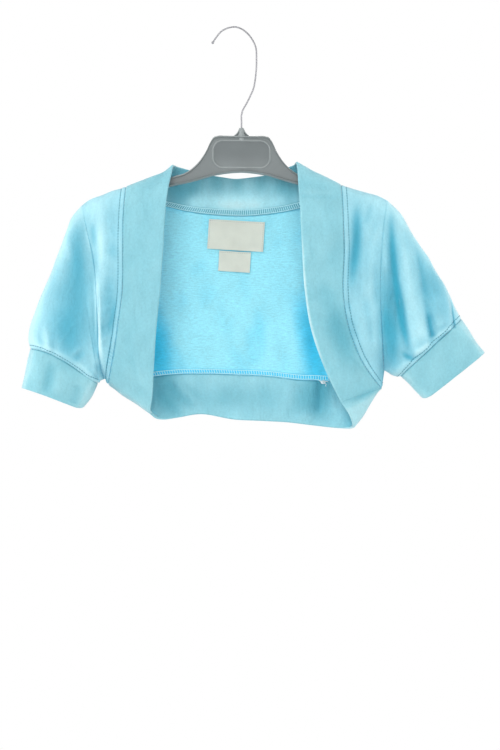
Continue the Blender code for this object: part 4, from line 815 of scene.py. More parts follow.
def ring_points(ring, front_fractions, back_fractions):
    """Points round one section of a sleeve: down its front from the top, and up its back."""
    top = np.array([ring.top_x, 0.0, ring.top_z])
    low = np.array([ring.low_x, 0.0, ring.low_z])
    drop = low - top
    sideways = np.array([-drop[2], 0.0, drop[0]]) / np.linalg.norm(drop)
    if sideways[2] < 0:
        sideways = -sideways

    def half(fractions, depth):
        s = fractions[:, None]
        bulge = (1 - np.abs(2 * s - 1) ** RING_SQUARENESS) ** (1 / RING_SQUARENESS)
        bow = ring.bow * 4 * s * (1 - s) * (BOW_HIGH - (BOW_HIGH - BOW_LOW) * s)
        return top + drop * s + sideways * bow + np.array([0.0, depth, 0.0]) * bulge

    front = half(front_fractions, -ring.front)
    back = half(back_fractions[::-1], ring.back)
    return np.concatenate([front, back[1:-1]])


def tube(first_ring, sections, steps, front_fractions, back_fractions, crowding=0.0):
    """Rings from a given first ring through the sections of a table."""
    rings = [first_ring] + [ring_points(row, front_fractions, back_fractions) for row in sections]
    knots = [0.0] + [row.at for row in sections]
    return glide(knots, rings, crowded(steps, crowding))


def rounded_corner(cuff, lowest):
    """Draw the open edge of a cuff in at its lowest corner."""
    near = np.linalg.norm(cuff[-1] - cuff[-1, lowest], axis=-1)
    share = np.clip(1 - near / CORNER_REACH, 0, 1) ** 2
    rows = np.linspace(0, 1, len(cuff))[:, None] ** 2
    back = unit(cuff[0, lowest] - cuff[-1, lowest])
    return cuff + (rows * share[None, :])[..., None] * back * CORNER_ROUNDING


class Sheet:
    """One cloth piece: the grid of its middle surface, and which of its four sides are sewn."""

    def __init__(self, name, grid, wall, sewn, grain, closed=False, folded="", stand_out=0.0):
        self.name = name
        self.grid = grid
        self.wall = wall
        self.sewn = sewn.split()
        self.grain_kind = grain
        self.closed = closed
        self.folded = folded
        self.stand_out = stand_out
        self.relief = np.zeros(grid.shape[:2])
        self.lining = np.zeros(grid.shape[:2])
        self.lining_shade = np.zeros(grid.shape[:2])

    def wrapped(self, values=None):
        """The grid, or values on it; if it is closed, its first column is repeated at the end."""
        values = self.grid if values is None else values
        return np.concatenate([values, values[:, :1]], axis=1) if self.closed else values

    def at_corners(self, cells):
        """Add up a value of each cell at the cell's corners."""
        total = np.zeros(self.grid.shape[:2] + cells.shape[2:])
        for i in (0, 1):
            rows = slice(i, i + cells.shape[0])
            if self.closed:
                total[rows] += cells + np.roll(cells, 1, axis=1)
            else:
                total[rows, :-1] += cells
                total[rows, 1:] += cells
        return total

    def cell_normals(self):
        grid = self.wrapped()
        return np.cross(grid[1:, 1:] - grid[:-1, :-1], grid[1:, :-1] - grid[:-1, 1:]) * self.turn

    def border(self):
        rows, columns = self.grid.shape[:2]
        for j in range(columns):
            yield 0, j
            yield rows - 1, j
        if not self.closed:
            for i in range(1, rows - 1):
                yield i, 0
                yield i, columns - 1

    def turned_to(self, values, side):
        """Values on the grid with the given side as the first row."""
        return {"first_row": lambda v: v, "last_row": lambda v: v[::-1],
                "first_column": lambda v: np.swapaxes(v, 0, 1),
                "last_column": lambda v: np.swapaxes(v[:, ::-1], 0, 1)}[side](values)

    def distances(self, side):
        """How far every point is from a side along the cloth, and distances along that side."""
        grid = self.turned_to(self.grid, side)
        away = np.linalg.norm(np.diff(grid, axis=0), axis=-1)
        away = np.concatenate([np.zeros((1, grid.shape[1])), np.cumsum(away, axis=0)])
        return away, knots_of(grid[0])

    def add_relief(self, side, heights, lining=False):
        """Raise the outer face, or the inner, by heights given with the side as the first row."""
        target = self.turned_to(self.lining if lining else self.relief, side)
        target += heights

    def add_lining_shade(self, side, shades):
        target = self.turned_to(self.lining_shade, side)
        target += shades


def place_key(point):
    return tuple(np.round(point * 100).astype(int))


def share_over_seams(sheets, totals):
    """Give points of several sheets that lie in one place the sum of their values."""
    sums = {}
    for sheet, total in zip(sheets, totals):
        for place in sheet.border():
            key = place_key(sheet.grid[place])
            sums[key] = sums.get(key, 0) + total[place]
    for sheet, total in zip(sheets, totals):
        for place in sheet.border():
            total[place] = sums[place_key(sheet.grid[place])]


def shared_normals(sheets):
    """Normals at every grid point, the same on both sides of a seam."""
    totals = [sheet.at_corners(sheet.cell_normals()) for sheet in sheets]
    share_over_seams(sheets, totals)
    for sheet, total in zip(sheets, totals):
        sheet.normals = unit(total)


def soften_normals(sheets, rounds):
    """Mix each normal with its neighbours', across seams too."""
    for _ in range(rounds):
        totals = []
        for sheet in sheets:
            normals = sheet.wrapped(sheet.normals)
            cells = normals[1:, 1:] + normals[:-1, :-1] + normals[1:, :-1] + normals[:-1, 1:]
            totals.append(sheet.at_corners(cells))
        share_over_seams(sheets, totals)
        for sheet, total in zip(sheets, totals):
            sheet.normals = unit(total)


def face_outward(sheet, inside):
    """Set which way round the sheet's grid is, from points that it encloses."""
    sheet.turn = 1
    normals = sheet.cell_normals()
    grid = sheet.wrapped()
    middles = (grid[1:, 1:] + grid[:-1, :-1] + grid[1:, :-1] + grid[:-1, 1:]) / 4
    sheet.turn = 1 if np.sum(normals * (middles - inside(middles))) > 0 else -1


def pressed(fold, points, normals):
    """How far a fold moves each point towards its side: its depth on its path, 0 far from it."""
    path = curve([(x, 0.0, z) for x, z in fold.path], PATH_STEPS)[:, [0, 2]]
    reach = PATH_REACH * fold.width * (1 + abs(fold.lean))
    flat = points[..., [0, 2]]
    near = np.all((flat > path.min(axis=0) - reach) & (flat < path.max(axis=0) + reach), axis=-1)
    near &= normals[..., 1] * fold.side > 0
    weight = np.zeros(points.shape[:-1])
    flat = flat[near]
    if not len(flat):
        return weight
    best = np.full(len(flat), np.inf)
    along = np.zeros(len(flat))
    hand = np.zeros(len(flat))
    steps = np.linalg.norm(np.diff(path, axis=0), axis=1)
    lengths = np.concatenate([[0.0], np.cumsum(steps)]) / steps.sum()
    for k in range(len(path) - 1):
        step = path[k + 1] - path[k]
        away = flat - path[k]
        t = np.clip((away @ step) / (step @ step), 0, 1)
        gap = np.linalg.norm(away - t[:, None] * step, axis=-1)
        closer = gap < best
        best = np.where(closer, gap, best)
        along = np.where(closer, lengths[k] + t * (lengths[k + 1] - lengths[k]), along)
        hand = np.where(closer, np.sign(step[0] * away[:, 1] - step[1] * away[:, 0]), hand)
    fade = smooth_step(along / fold.start) * smooth_step((1 - along) / fold.end)
    faces_side = smooth_step(normals[near][:, 1] * fold.side * PATH_FACING)
    weight[near] = bell(best / (fold.width * (1 + fold.lean * hand))) * fade * faces_side
    return fold.depth * weight


def ripples(points):
    """The slight unevenness of hanging cloth: a sum of faint waves in many directions."""
    chance = np.random.default_rng(RIPPLE_SEED)
    total = np.zeros(points.shape[:-1])
    for _ in range(RIPPLE_COUNT):
        heading = unit(chance.normal(size=3) * np.array(RIPPLE_HEADINGS))
        length = chance.uniform(*RIPPLE_LENGTHS)
        phase = chance.uniform(0, FULL_TURN)
        total += length * np.sin(points @ heading * 2 * math.pi / length + phase)
    return total * RIPPLE_HEIGHT / (RIPPLE_COUNT ** 0.5 * RIPPLE_LENGTHS[1])


def press_folds(sheets, folds):
    """Move every sheet's points by the folds. Shared seam points move alike on both sides."""
    for sheet in sheets:
        across = sum(fold.side * pressed(fold, sheet.grid, sheet.normals) for fold in folds)
        out = ripples(sheet.grid) + sheet.stand_out
        sheet.grid = sheet.grid + sheet.normals * out[..., None]
        sheet.grid[..., 1] += across


def stop_short(sheet):
    """Draw each sewn side back from its seam by half the gap, along the cloth."""
    moved = sheet.grid.copy()
    for side in sheet.sewn:
        grid = sheet.turned_to(sheet.grid, side)
        target = sheet.turned_to(moved, side)
        target[0] += unit(grid[1] - grid[0]) * SEAM_GAP / 2
    return moved


def grain_of(sheet):
    """Where each point lies on the flat cloth; if it is closed, its first column is repeated."""
    grid = sheet.wrapped()
    if sheet.grain_kind == "flat":
        return np.stack([grid[..., 0], grid[..., 2]], axis=-1)
    away = np.linalg.norm(np.diff(grid, axis=0), axis=-1)
    away = np.concatenate([np.zeros((1, grid.shape[1])), np.cumsum(away, axis=0)])
    along = np.broadcast_to(knots_of(grid[grid.shape[0] // 2])[None, :], away.shape)
    pair = [along, away] if sheet.grain_kind == "round" else [away, along]
    return np.stack(pair, axis=-1)


def blurred(values, reach, axis, round_about):
    """A running mean, a few times over, along an axis of the grid."""
    values = np.moveaxis(values, axis, 0)
    for _ in range(BLUR_ROUNDS):
        if round_about:
            padded = np.concatenate([values[-reach:], values, values[:reach]])
        else:
            low = 2 * values[0] - values[reach:0:-1]
            high = 2 * values[-1] - values[-2:-reach - 2:-1]
            padded = np.concatenate([low, values, high])
        total = np.concatenate([np.zeros_like(padded[:1]), np.cumsum(padded, axis=0)])
        values = (total[2 * reach + 1:] - total[:-2 * reach - 1]) / (2 * reach + 1)
    return np.moveaxis(values, 0, axis)


def hollows(sheet):
    """How far each point lies below its surroundings, at two scales; ridges are below zero."""
    total = np.zeros(sheet.grid.shape[:2])
    for reach, share in HOLLOW_REACHES:
        smoothed = sheet.grid
        for axis in (0, 1):
            step = np.linalg.norm(np.diff(sheet.grid, axis=axis), axis=-1).mean()
            steps = max(int(round(reach / step)), 1)
            smoothed = blurred(smoothed, steps, axis, sheet.closed and axis == 1)
        total += share * np.sum((smoothed - sheet.grid) * sheet.normals, axis=-1)
    return total


def painted_shade_of(sheet, hollow, face, relief, shade):
    """How deep the painted shade of each point of a face is: painted shade in its hollows and
    painted highlight on its ridges, the listed painted shade and highlights, the painted shade on
    allowances, and painted shade in grooves and highlight on raised lines.
    """
    total = np.zeros(sheet.grid.shape[:2])
    for painted_patch in PAINTED_SHADE_AND_HIGHLIGHT[face]:
        total += pressed(painted_patch, sheet.grid, sheet.normals)
    form = np.maximum(hollow * face * HOLLOW_SHADE, -PALEST)
    lines = GROOVE_SHADE * np.minimum(relief, 0)
    return (form + total + shade - lines - RIDGE_PAINTED_HIGHLIGHT * np.maximum(relief, 0)) / MM


def mesh_object(name, vertices, faces, materials, slots=None):
    """A mesh object from points in millimetres."""
    mesh = bpy.data.meshes.new(name)
    points = np.asarray(vertices, float) * MM
    mesh.from_pydata(points.tolist(), [], faces)
    for made in materials:
        mesh.materials.append(made)
    if slots is not None:
        mesh.polygons.foreach_set("material_index", np.asarray(slots, np.int32))
    mesh.update()
    mesh.shade_smooth()
    mesh.set_sharp_from_angle(angle=math.radians(SHARP_ANGLE))
    obj = bpy.data.objects.new(name, mesh)
    bpy.context.scene.collection.objects.link(obj)
    return obj


def shell(sheet, outside, inside):
    """The closed wall about a sheet, with its grain and painted shade kept on its face corners."""
    middle = stop_short(sheet)
    half = sheet.wall / 2
    sheet.outer = middle + sheet.normals * (half + sheet.relief)[..., None]
    sheet.inner = middle - sheet.normals * (half + sheet.lining)[..., None]
    rows, columns = sheet.grid.shape[:2]
    count = rows * columns
    vertices = [sheet.outer.reshape((-1, 3)), sheet.inner.reshape((-1, 3))]
    places = sheet.wrapped(np.arange(count).reshape((rows, columns)))
    grain = grain_of(sheet)
    hollow = hollows(sheet)
    painted_shades = [sheet.wrapped(painted_shade_of(sheet, hollow, *row))
             for row in ((OUTER, sheet.relief, 0.0), (INNER, sheet.lining, sheet.lining_shade))]
    turned = slice(None, None, sheet.turn)

    quads = cells_of(places).reshape((-1, 4))[:, turned]
    marks, lining_marks = [
        np.concatenate([cells_of(grain), cells_of(tone)[..., None]], axis=-1)
        .reshape((-1, 4, 3))[:, turned] for tone in painted_shades]
    faces = [quads, quads[:, ::-1] + count]
    grains = [marks, lining_marks[:, ::-1]]
    slots = [np.zeros(len(quads), int), np.ones(len(quads), int)]

    grain = np.concatenate([grain, painted_shades[0][..., None]], axis=-1)
    rims = [("first_row", places[0], grain[0]), ("last_row", places[-1][::-1], grain[-1][::-1])]
    if not sheet.closed:
        rims += [("last_column", places[:, -1], grain[:, -1]),
                 ("first_column", places[:, 0][::-1], grain[:, 0][::-1])]
    total = 2 * count
    ends = []
    for side, rim, mark in rims:
        lines = [rim]
        if side == sheet.folded:
            edge = sheet.turned_to(middle, side)
            away = unit(edge[0] - edge[1])
            normals = sheet.turned_to(sheet.normals, side)[0]
            for k in range(1, NOSE_STEPS + 1):
                angle = math.pi * k / (NOSE_STEPS + 1)
                vertices.append(edge[0] + away * math.sin(angle) * half * NOSE_REACH
                                + normals * math.cos(angle) * half)
                line = np.arange(columns) + total
                total += columns
                lines.append((np.append(line, line[0]) if sheet.closed else line)[::-1])
        lines.append(rim + count)
        for near, far in zip(lines[:-1], lines[1:]):
            strip = np.stack([near[:-1], far[:-1], far[1:], near[1:]], axis=1)
            strip_grain = np.stack([mark[:-1], mark[:-1], mark[1:], mark[1:]], axis=1)
            faces.append(strip[:, turned])
            grains.append(strip_grain[:, turned])
            slots.append(np.full(len(strip), int(side != sheet.folded)))
        if side == sheet.folded and not sheet.closed:
            for k in (0, -1):
                loop = [int(line[k]) for line in lines]
                ends.append(loop if (k == -1) == (sheet.turn > 0) else loop[::-1])
    loops = np.concatenate(faces).tolist() + ends
    slots = np.concatenate(slots).tolist() + [0] * len(ends)
    made = mesh_object("shell_" + sheet.name, np.concatenate(vertices), loops,
                       [outside, inside], slots)
    values = np.concatenate([block.reshape((-1, 3)) for block in grains]) * MM
    spare = sum(len(loop) for loop in ends)
    values = np.concatenate([values, np.zeros((spare, 3))])
    # The grain attribute holds each corner's place on the flat cloth and, third, its painted
    # shade.
    mark = made.data.attributes.new("grain", "FLOAT_VECTOR", "CORNER")
    mark.data.foreach_set("vector", values.ravel())
    return made


def cloth_sheets():
    """The middle surfaces of every cut piece."""
    band, band_bow = band_sections(NECK_BAND, [
        (LEFT_SIDE, LEFT_NECK, FRONT_ROWS, HOLE_CROWDING),
        (LEFT_NECK, RIGHT_NECK, NECK_STEPS, NECK_CROWDING),
        (RIGHT_NECK, RIGHT_SIDE, FRONT_ROWS, HOLE_CROWDING),
    ])
    hem, hem_bow = band_sections(HEM_BAND, [
        (0, HEM_RIGHT_TURN, RIDGE_STEPS, 0.0),
        (HEM_RIGHT_TURN, HEM_LEFT_TURN, NECK_STEPS, 0.0),
        (HEM_LEFT_TURN, len(HEM_BAND) - 1, RIDGE_STEPS, 0.0),
    ])
    seam, hem_seam = band[:, 0], hem[::-1, 0]
    right_neck_at = FRONT_ROWS + NECK_STEPS
    ridge_left = curve(RIDGE_LEFT, RIDGE_STEPS)
    ridge_right = curve(RIDGE_RIGHT, RIDGE_STEPS)
    left_hole, right_hole = [curve(points, FRONT_ROWS, HOLE_CROWDING)
                             for points in (ARMHOLE_LEFT_FRONT, ARMHOLE_RIGHT_FRONT)]
    back_left_hole, back_right_hole = [curve(points, BACK_ROWS, HOLE_CROWDING)
                                       for points in (ARMHOLE_LEFT_BACK, ARMHOLE_RIGHT_BACK)]

    def with_side(hole, foot):
        side = hole[-1] + np.linspace(0, 1, SIDE_ROWS + 1)[1:, None] * (foot - hole[-1])
        return np.concatenate([hole, side])

    front_left = front_panel(ridge_left, seam[FRONT_ROWS::-1], left_hole, ROLL_LEFT)
    front_right = front_panel(ridge_right, seam[right_neck_at:], right_hole, [])
    top = np.concatenate([ridge_left[::-1], seam[FRONT_ROWS + 1:right_neck_at], ridge_right])
    back = back_panel(top, hem_seam, with_side(back_left_hole, hem_seam[0]),
                      with_side(back_right_hole, hem_seam[-1]))
    all_round = "first_row last_row first_column last_column"
    sheets = [Sheet(name, grid, PANEL_WALL, all_round, "flat") for name, grid in (
        ("back", back), ("front_left", front_left), ("front_right", front_right))]

    across = np.linspace(0, 1, BAND_STEPS + 1)
    for name, sections, bow in (("neck_band", band, band_bow), ("hem_band", hem, hem_bow)):
        out = across[:, None, None]
        grid = sections[None, :, 0] * (1 - out) + sections[None, :, 1] * out
        out = across[:, None]
        sheets.append(Sheet(name, grid, BAND_WALL, "first_row first_column last_column", "band",
                            folded="last_row",
                            stand_out=bow[None, :] * out ** 2 * (1 - out) * BOW_PEAK))

    def body_axis(middles):
        return np.stack([np.clip(middles[..., 0], *AXIS_ACROSS), np.zeros(middles.shape[:-1]),
                         np.clip(middles[..., 2], *AXIS_UP)], axis=-1)

    for sheet in sheets:
        face_outward(sheet, body_axis)

    front_fractions = crowded(FRONT_ROWS, HOLE_CROWDING)
    back_fractions = crowded(BACK_ROWS, HOLE_CROWDING)
    for side, front_hole, back_hole, sleeve_rows, cuff_rows in (
        ("left", left_hole, back_left_hole, SLEEVE_LEFT, CUFF_LEFT),
        ("right", right_hole, back_right_hole, SLEEVE_RIGHT, CUFF_RIGHT),
    ):
        hole = np.concatenate([front_hole, back_hole[::-1][1:-1]])
        sleeve = tube(hole, sleeve_rows, SLEEVE_RINGS, front_fractions, back_fractions,
                      SLEEVE_CROWDING)
        cuff = tube(sleeve[-1], cuff_rows, CUFF_RINGS, front_fractions, back_fractions)
        cuff = rounded_corner(cuff, len(front_fractions) - 1)
        for name, grid, wall, sewn, folded in (
            ("sleeve_" + side, sleeve, PANEL_WALL, "first_row last_row", ""),
            ("cuff_" + side, cuff, BAND_WALL, "first_row", "last_row"),
        ):
            sheet = Sheet(name, grid, wall, sewn, "round", closed=True, folded=folded)
            heart = grid.mean(axis=(0, 1))
            face_outward(sheet, lambda middles, heart=heart: heart)
            sheets.append(sheet)

    shared_normals(sheets)
    press_folds(sheets, FOLDS)
    shared_normals(sheets)
    soften_normals(sheets, NORMAL_ROUNDS)
    return {sheet.name: sheet for sheet in sheets}


def press_allowances(sheets):
    """Raise the overlocked allowances on the inner faces of the neck, hem and side seams, with
    painted shade on them under their rungs.
    """
    for row in ALLOWANCES:
        sheet = sheets[row.piece]
        away, along = sheet.distances(row.side)
        strip = 1 - smooth_step((away - row.height) / ALLOWANCE_EDGE)
        place = np.arange(len(along))
        ends = (smooth_step((place - row.first) / ALLOWANCE_FADE + 1)
                * smooth_step((row.last - place) / ALLOWANCE_FADE + 1))
        uneven = 1
        for height, length in ALLOWANCE_WAVES:
            uneven = uneven + height * np.sin(along * 2 * math.pi / length)
        sheet.add_relief(row.side, ALLOWANCE_RISE * strip * (ends * uneven)[None, :], lining=True)
        sheet.add_lining_shade(row.side, row.shade * strip * ends[None, :])


def press_seams(sheets):
    """Sink the grooves of seams and stitch lines into the outer faces, with their puckers."""
    chance = np.random.default_rng(SEAM_SEED)
    rise, short, fall = ALLOWANCE_SLOPES
    steady, swing, swell_length = PUCKER_SWELL
    for seam in SEAMS:
        sheet = sheets[seam.piece]
        away, along = sheet.distances(seam.side)
        down = along / along[-1] * LOW_END_SLOPE - LOW_END_START
        low = 1 + seam.low * smooth_step(down)[None, :]
        heights = -GROOVE_DEPTH * seam.groove * low * bell(away / GROOVE_WIDTH)
        lining = heights * GROOVE_INSIDE
        heights = heights + LIP_HEIGHT * bell((away - LIP_AWAY) / LIP_WIDTH)
        if seam.stitch:
            past = 1 - smooth_step((away - seam.stitch + short) / fall)
            strip = smooth_step(away / rise) * past
            heights += ALLOWANCE_HEIGHT * strip
            groove = bell((away - seam.stitch) / STITCH_GROOVE_WIDTH)
            heights -= STITCH_GROOVE * seam.groove * low * groove
        if seam.pucker:
            wobble = np.cumsum(chance.normal(size=len(along))) * PUCKER_WOBBLE
            wave = np.sin(along * 2 * math.pi / PUCKER_LENGTH + wobble)
            phase = chance.uniform(0, 6)
            swell = steady + swing * np.sin(along * 2 * math.pi / swell_length + phase)
            spread = bell(away / PUCKER_REACH) * smooth_step(away / PUCKER_START)
            heights += seam.pucker * low * (wave * swell)[None, :] * spread
        sheet.add_relief(seam.side, heights)
        sheet.add_relief(seam.side, lining, lining=True)


def thread_line(sheet, side, distance, inner=False):
    """Points and outward directions on a piece's face at a distance from one of its sides."""
    away, _ = sheet.distances(side)
    face = sheet.turned_to(sheet.inner if inner else sheet.outer, side)
    normals = sheet.turned_to(sheet.normals, side) * (-1 if inner else 1)
    points, directions = [], []
    for j in range(away.shape[1]):
        i = int(np.clip(np.searchsorted(away[:, j], distance) - 1, 0, len(away) - 2))
        t = np.clip((distance - away[i, j]) / (away[i + 1, j] - away[i, j]), 0, 1)
        points.append(face[i, j] * (1 - t) + face[i + 1, j] * t)
        directions.append(normals[i, j])
    return np.array(points), unit(np.array(directions))


def read_along(line, places):
    """Points and directions of a line at distances along it."""
    points, directions = line
    knots = knots_of(points)
    read = [np.stack([np.interp(places, knots, values[:, k]) for k in range(3)], axis=-1)
            for values in (points, directions)]
    return read[0], unit(read[1])


def tubes(paths, up, radius):
    """Thin round threads along paths, an array of (thread, point, xyz), with closed ends."""
    threads, steps = paths.shape[:2]
    sides = THREAD_SIDES
    tangent = unit(np.gradient(paths, axis=1))
    across = unit(np.cross(tangent, up))
    lift = np.cross(across, tangent)
    angles = np.arange(sides) * 2 * math.pi / sides
    thickness = np.full(steps, radius)
    thickness[[0, -1]] *= THREAD_TAPER
    ring = (across[:, :, None] * np.cos(angles)[:, None]
            + lift[:, :, None] * np.sin(angles)[:, None])
    vertices = paths[:, :, None] + ring * thickness[None, :, None, None]
    first = np.arange(threads)[:, None] * steps * sides + np.arange(sides)
    here = first[:, None] + (np.arange(steps - 1) * sides)[None, :, None]
    there = np.roll(here, -1, axis=-1)
    quads = np.stack([here, there, there + sides, here + sides], axis=-1)
    faces = quads[..., ::-1].reshape((-1, 4)).tolist()
    faces += first.tolist() + (first + (steps - 1) * sides)[:, ::-1].tolist()
    return vertices.reshape((-1, 3)), faces


def topstitch(line, pitch, length, radius=THREAD_RADIUS):
    """A row of stitches along a line."""
    total = knots_of(line[0])[-1]
    starts = np.arange(STITCH_START, total - pitch, pitch)
    steps = np.linspace(0, 1, STITCH_STEPS)
    places = (starts[:, None] + steps[None] * length).ravel()
    points, directions = [read.reshape((-1, STITCH_STEPS, 3)) for read in read_along(line, places)]
    rise = (np.sin(math.pi * steps) * STITCH_LIFT - STITCH_SUNK)[None, :, None]
    return tubes(points + directions * rise, directions, radius)


def ladder(low, high, pitch):
    """The rungs of an overlocked edge between two lines, and the loops along both."""
    total = min(knots_of(low[0])[-1], knots_of(high[0])[-1])
    starts = np.arange(RUNG_START, total - pitch, pitch)
    share = knots_of(high[0])[-1] / knots_of(low[0])[-1]
    a, up_a = read_along(low, starts)
    b, up_b = read_along(high, (starts + RUNG_SLANT) * share)
    steps = np.linspace(0, 1, RUNG_STEPS)[None, :, None]
    up = unit(up_a[:, None] * (1 - steps) + up_b[:, None] * steps)
    rise = RUNG_LIFT * np.sin(math.pi * steps) ** 0.5 + RUNG_LOWEST
    parts = [tubes(a[:, None] * (1 - steps) + b[:, None] * steps + up * rise, up, RUNG_RADIUS)]
    lowest, swing = LOOP_RISE
    for line in (low, high):
        whole = knots_of(line[0])[-1]
        begin = np.arange(RUNG_START, whole - pitch, pitch)
        steps = np.linspace(0, 1, STITCH_STEPS)
        places = (begin[:, None] + steps[None] * pitch * LOOP_LENGTH).ravel()
        points, ups = [read.reshape((-1, STITCH_STEPS, 3)) for read in read_along(line, places)]
        rise = (lowest + swing * np.sin(math.pi * steps))[None, :, None]
        parts.append(tubes(points + ups * rise, ups, RUNG_RADIUS * LOOP_SLIMNESS))
    return joined(parts)


def joined(parts):
    """The vertices and faces of several parts as one."""
    vertices, faces, total = [], [], 0
    for points, loops in parts:
        vertices.append(points)
        faces += [[k + total for k in loop] for loop in loops]
        total += len(points)
    return np.concatenate(vertices), faces


def add_stitches(sheets):
    """Every visible row of sewing, by kind of thread and by the cloth piece that carries it."""
    rows = {}

    def sew(name, part, kind="topstitch"):
        rows.setdefault((kind, name), []).append(part)

    for seam in SEAMS:
        sheet = sheets[seam.piece]
        if seam.stitch:
            line = thread_line(sheet, seam.side, seam.stitch)
            if sheet.closed:
                line = [np.concatenate([values, values[:1]]) for values in line]
            sew(seam.piece, topstitch(line, STITCH_PITCH, STITCH_LENGTH))
        if seam.side == "first_column" and seam.piece.startswith("front"):
            away, *stitch = CLOSING_STITCH
            sew(seam.piece, topstitch(thread_line(sheet, seam.side, away), *stitch))
    for row in ALLOWANCES:
        part = slice(row.first, row.last + 1)
        low, high = [
            [values[part] for values in thread_line(sheets[row.piece], row.side, away, inner=True)]
            for away in (FIRST_LOOP_AWAY, row.height)]
        sew(row.piece, ladder(low, high, row.pitch), "overlock")
    line = [values[FRONT_ROWS:FRONT_ROWS + NECK_STEPS + 1]
            for values in thread_line(sheets["neck_band"], "first_row", NECK_STITCH_AWAY)]
    sew("neck_band", topstitch(line, STITCH_PITCH, STITCH_LENGTH))
    return rows


def thread_knot(band):
    """The knot and loose ends of thread left at the right end of the hem's seam, inside."""
    points, directions = thread_line(band, "first_row", KNOT_BELOW_SEAM, inner=True)
    front = directions[:, 1] < 0
    nearest = np.argmin(np.where(front, np.abs(points[:, 0] - KNOT_X), np.inf))
    parts = []
    for path, radius in KNOT_THREADS:
        drawn = curve([(x * KNOT_SPREAD, -out, z) for x, z, out in path], KNOT_STEPS)
        loop = (points[nearest] + drawn)[None]
        parts.append(tubes(loop, np.broadcast_to([0.0, -1.0, 0.0], loop.shape), radius))
    return joined(parts)


class Graph:
    """A material's nodes, with short calls for the kinds used here."""

    def __init__(self, name):
        self.material = bpy.data.materials.new(name)
        self.material.use_nodes = True
        self.tree = self.material.node_tree
        self.shader = self.tree.nodes["Principled BSDF"]

    def put(self, target, value):
        """Link an input to an output, or set it to a value."""
        if hasattr(value, "is_output"):
            self.tree.links.new(value, target)
        else:
            target.default_value = value

    def node(self, kind, inputs=(), **settings):
        """A node with its settings and its inputs, given by name or number."""
        made = self.tree.nodes.new("ShaderNode" + kind)
        for key, value in settings.items():
            setattr(made, key, value)
        for key, value in dict(inputs).items():
            self.put(made.inputs[key], value)
        return made

    def math(self, operation, a, b=0.0):
        return self.node("Math", {0: a, 1: b}, operation=operation).outputs[0]

    def product(self, first, *others):
        for other in others:
            first = self.math("MULTIPLY", first, other)
        return first

    def grain(self):
        """The cloth's own coordinates: as a vector, across, along, and how deep its painted shade
        is.
        """
        vector = self.node("Attribute", attribute_name="grain").outputs["Vector"]
        return vector, *self.node("SeparateXYZ", {0: vector}).outputs

    def place(self):
        return self.node("TexCoord").outputs["Object"]

    def stretched(self, vector, scale):
        return self.node("VectorMath", {0: vector, 1: scale}, operation="MULTIPLY").outputs[0]

    def noise(self, vector, scale, detail=3.0, roughness=0.5):
        return self.node("TexNoise", {"Vector": vector, "Scale": scale, "Detail": detail,
                                      "Roughness": roughness}).outputs["Fac"]

    def occlusion(self, distance, low, high, most):
        """A shade that falls from its most at one openness to nothing at another."""
        node = self.node("AmbientOcclusion", {"Distance": distance},
                         samples=OCCLUSION_SAMPLES)
        return self.remap(node.outputs["AO"], low, high, most, 0.0)

    def softened(self, value):
        """A shade from 0 up, bent so that it nears 1 slowly."""
        fall = self.math("MULTIPLY", self.math("MAXIMUM", value, 0.0), -SHADE_BEND)
        return self.math("SUBTRACT", 1.0, self.math("EXPONENT", fall))

    def remap(self, value, low, high, to_low=0.0, to_high=1.0):
        return self.node("MapRange", {"Value": value, "From Min": low, "From Max": high,
                                      "To Min": to_low, "To Max": to_high}).outputs[0]

    def mottle(self, noise, low, high):
        return self.remap(noise, *NOISE_MIDDLE, low, high)

    def mix(self, factor, a, b):
        return self.node("Mix", {"Factor": factor, 6: a, 7: b}, data_type="RGBA").outputs[2]

    def finish(self, colour, tone, bumps, values):
        """The material: a colour scaled by a tone, its bumps one over another, and the rest."""
        scaled = self.node("VectorMath", {0: colour, "Scale": tone}, operation="SCALE")
        self.put(self.shader.inputs["Base Color"], scaled.outputs[0])
        normal = None
        for height, strength, distance in bumps:
            inputs = {"Strength": strength, "Distance": distance, "Height": height}
            if normal is not None:
                inputs["Normal"] = normal
            normal = self.node("Bump", inputs).outputs[0]
        self.put(self.shader.inputs["Normal"], normal)
        for key, value in values.items():
            self.shader.inputs[key].default_value = value
        return self.material


def knit_height(graph, across, along, wale, course):
    """The relief of plain knit: two slanted legs in each stitch."""
    column = graph.math("FRACT", graph.math("DIVIDE", across, wale))
    offset = graph.math("ABSOLUTE", graph.math("SUBTRACT", column, 0.5))
    leg = graph.math("ABSOLUTE", graph.math("SUBTRACT", offset, 0.25))
    bulge = graph.math("POWER", graph.math("MULTIPLY", leg, 4.0), 2.0)
    profile = graph.math("SUBTRACT", 1.0, bulge)
    slant = graph.math("MULTIPLY", offset, LEG_SLANT)
    slope = graph.math("ADD", graph.math("DIVIDE", along, course), slant)
    row = graph.math("ABSOLUTE", graph.math("SUBTRACT", graph.math("FRACT", slope), 0.5))
    return graph.math("MULTIPLY", profile, graph.math("SUBTRACT", 1.1, row))


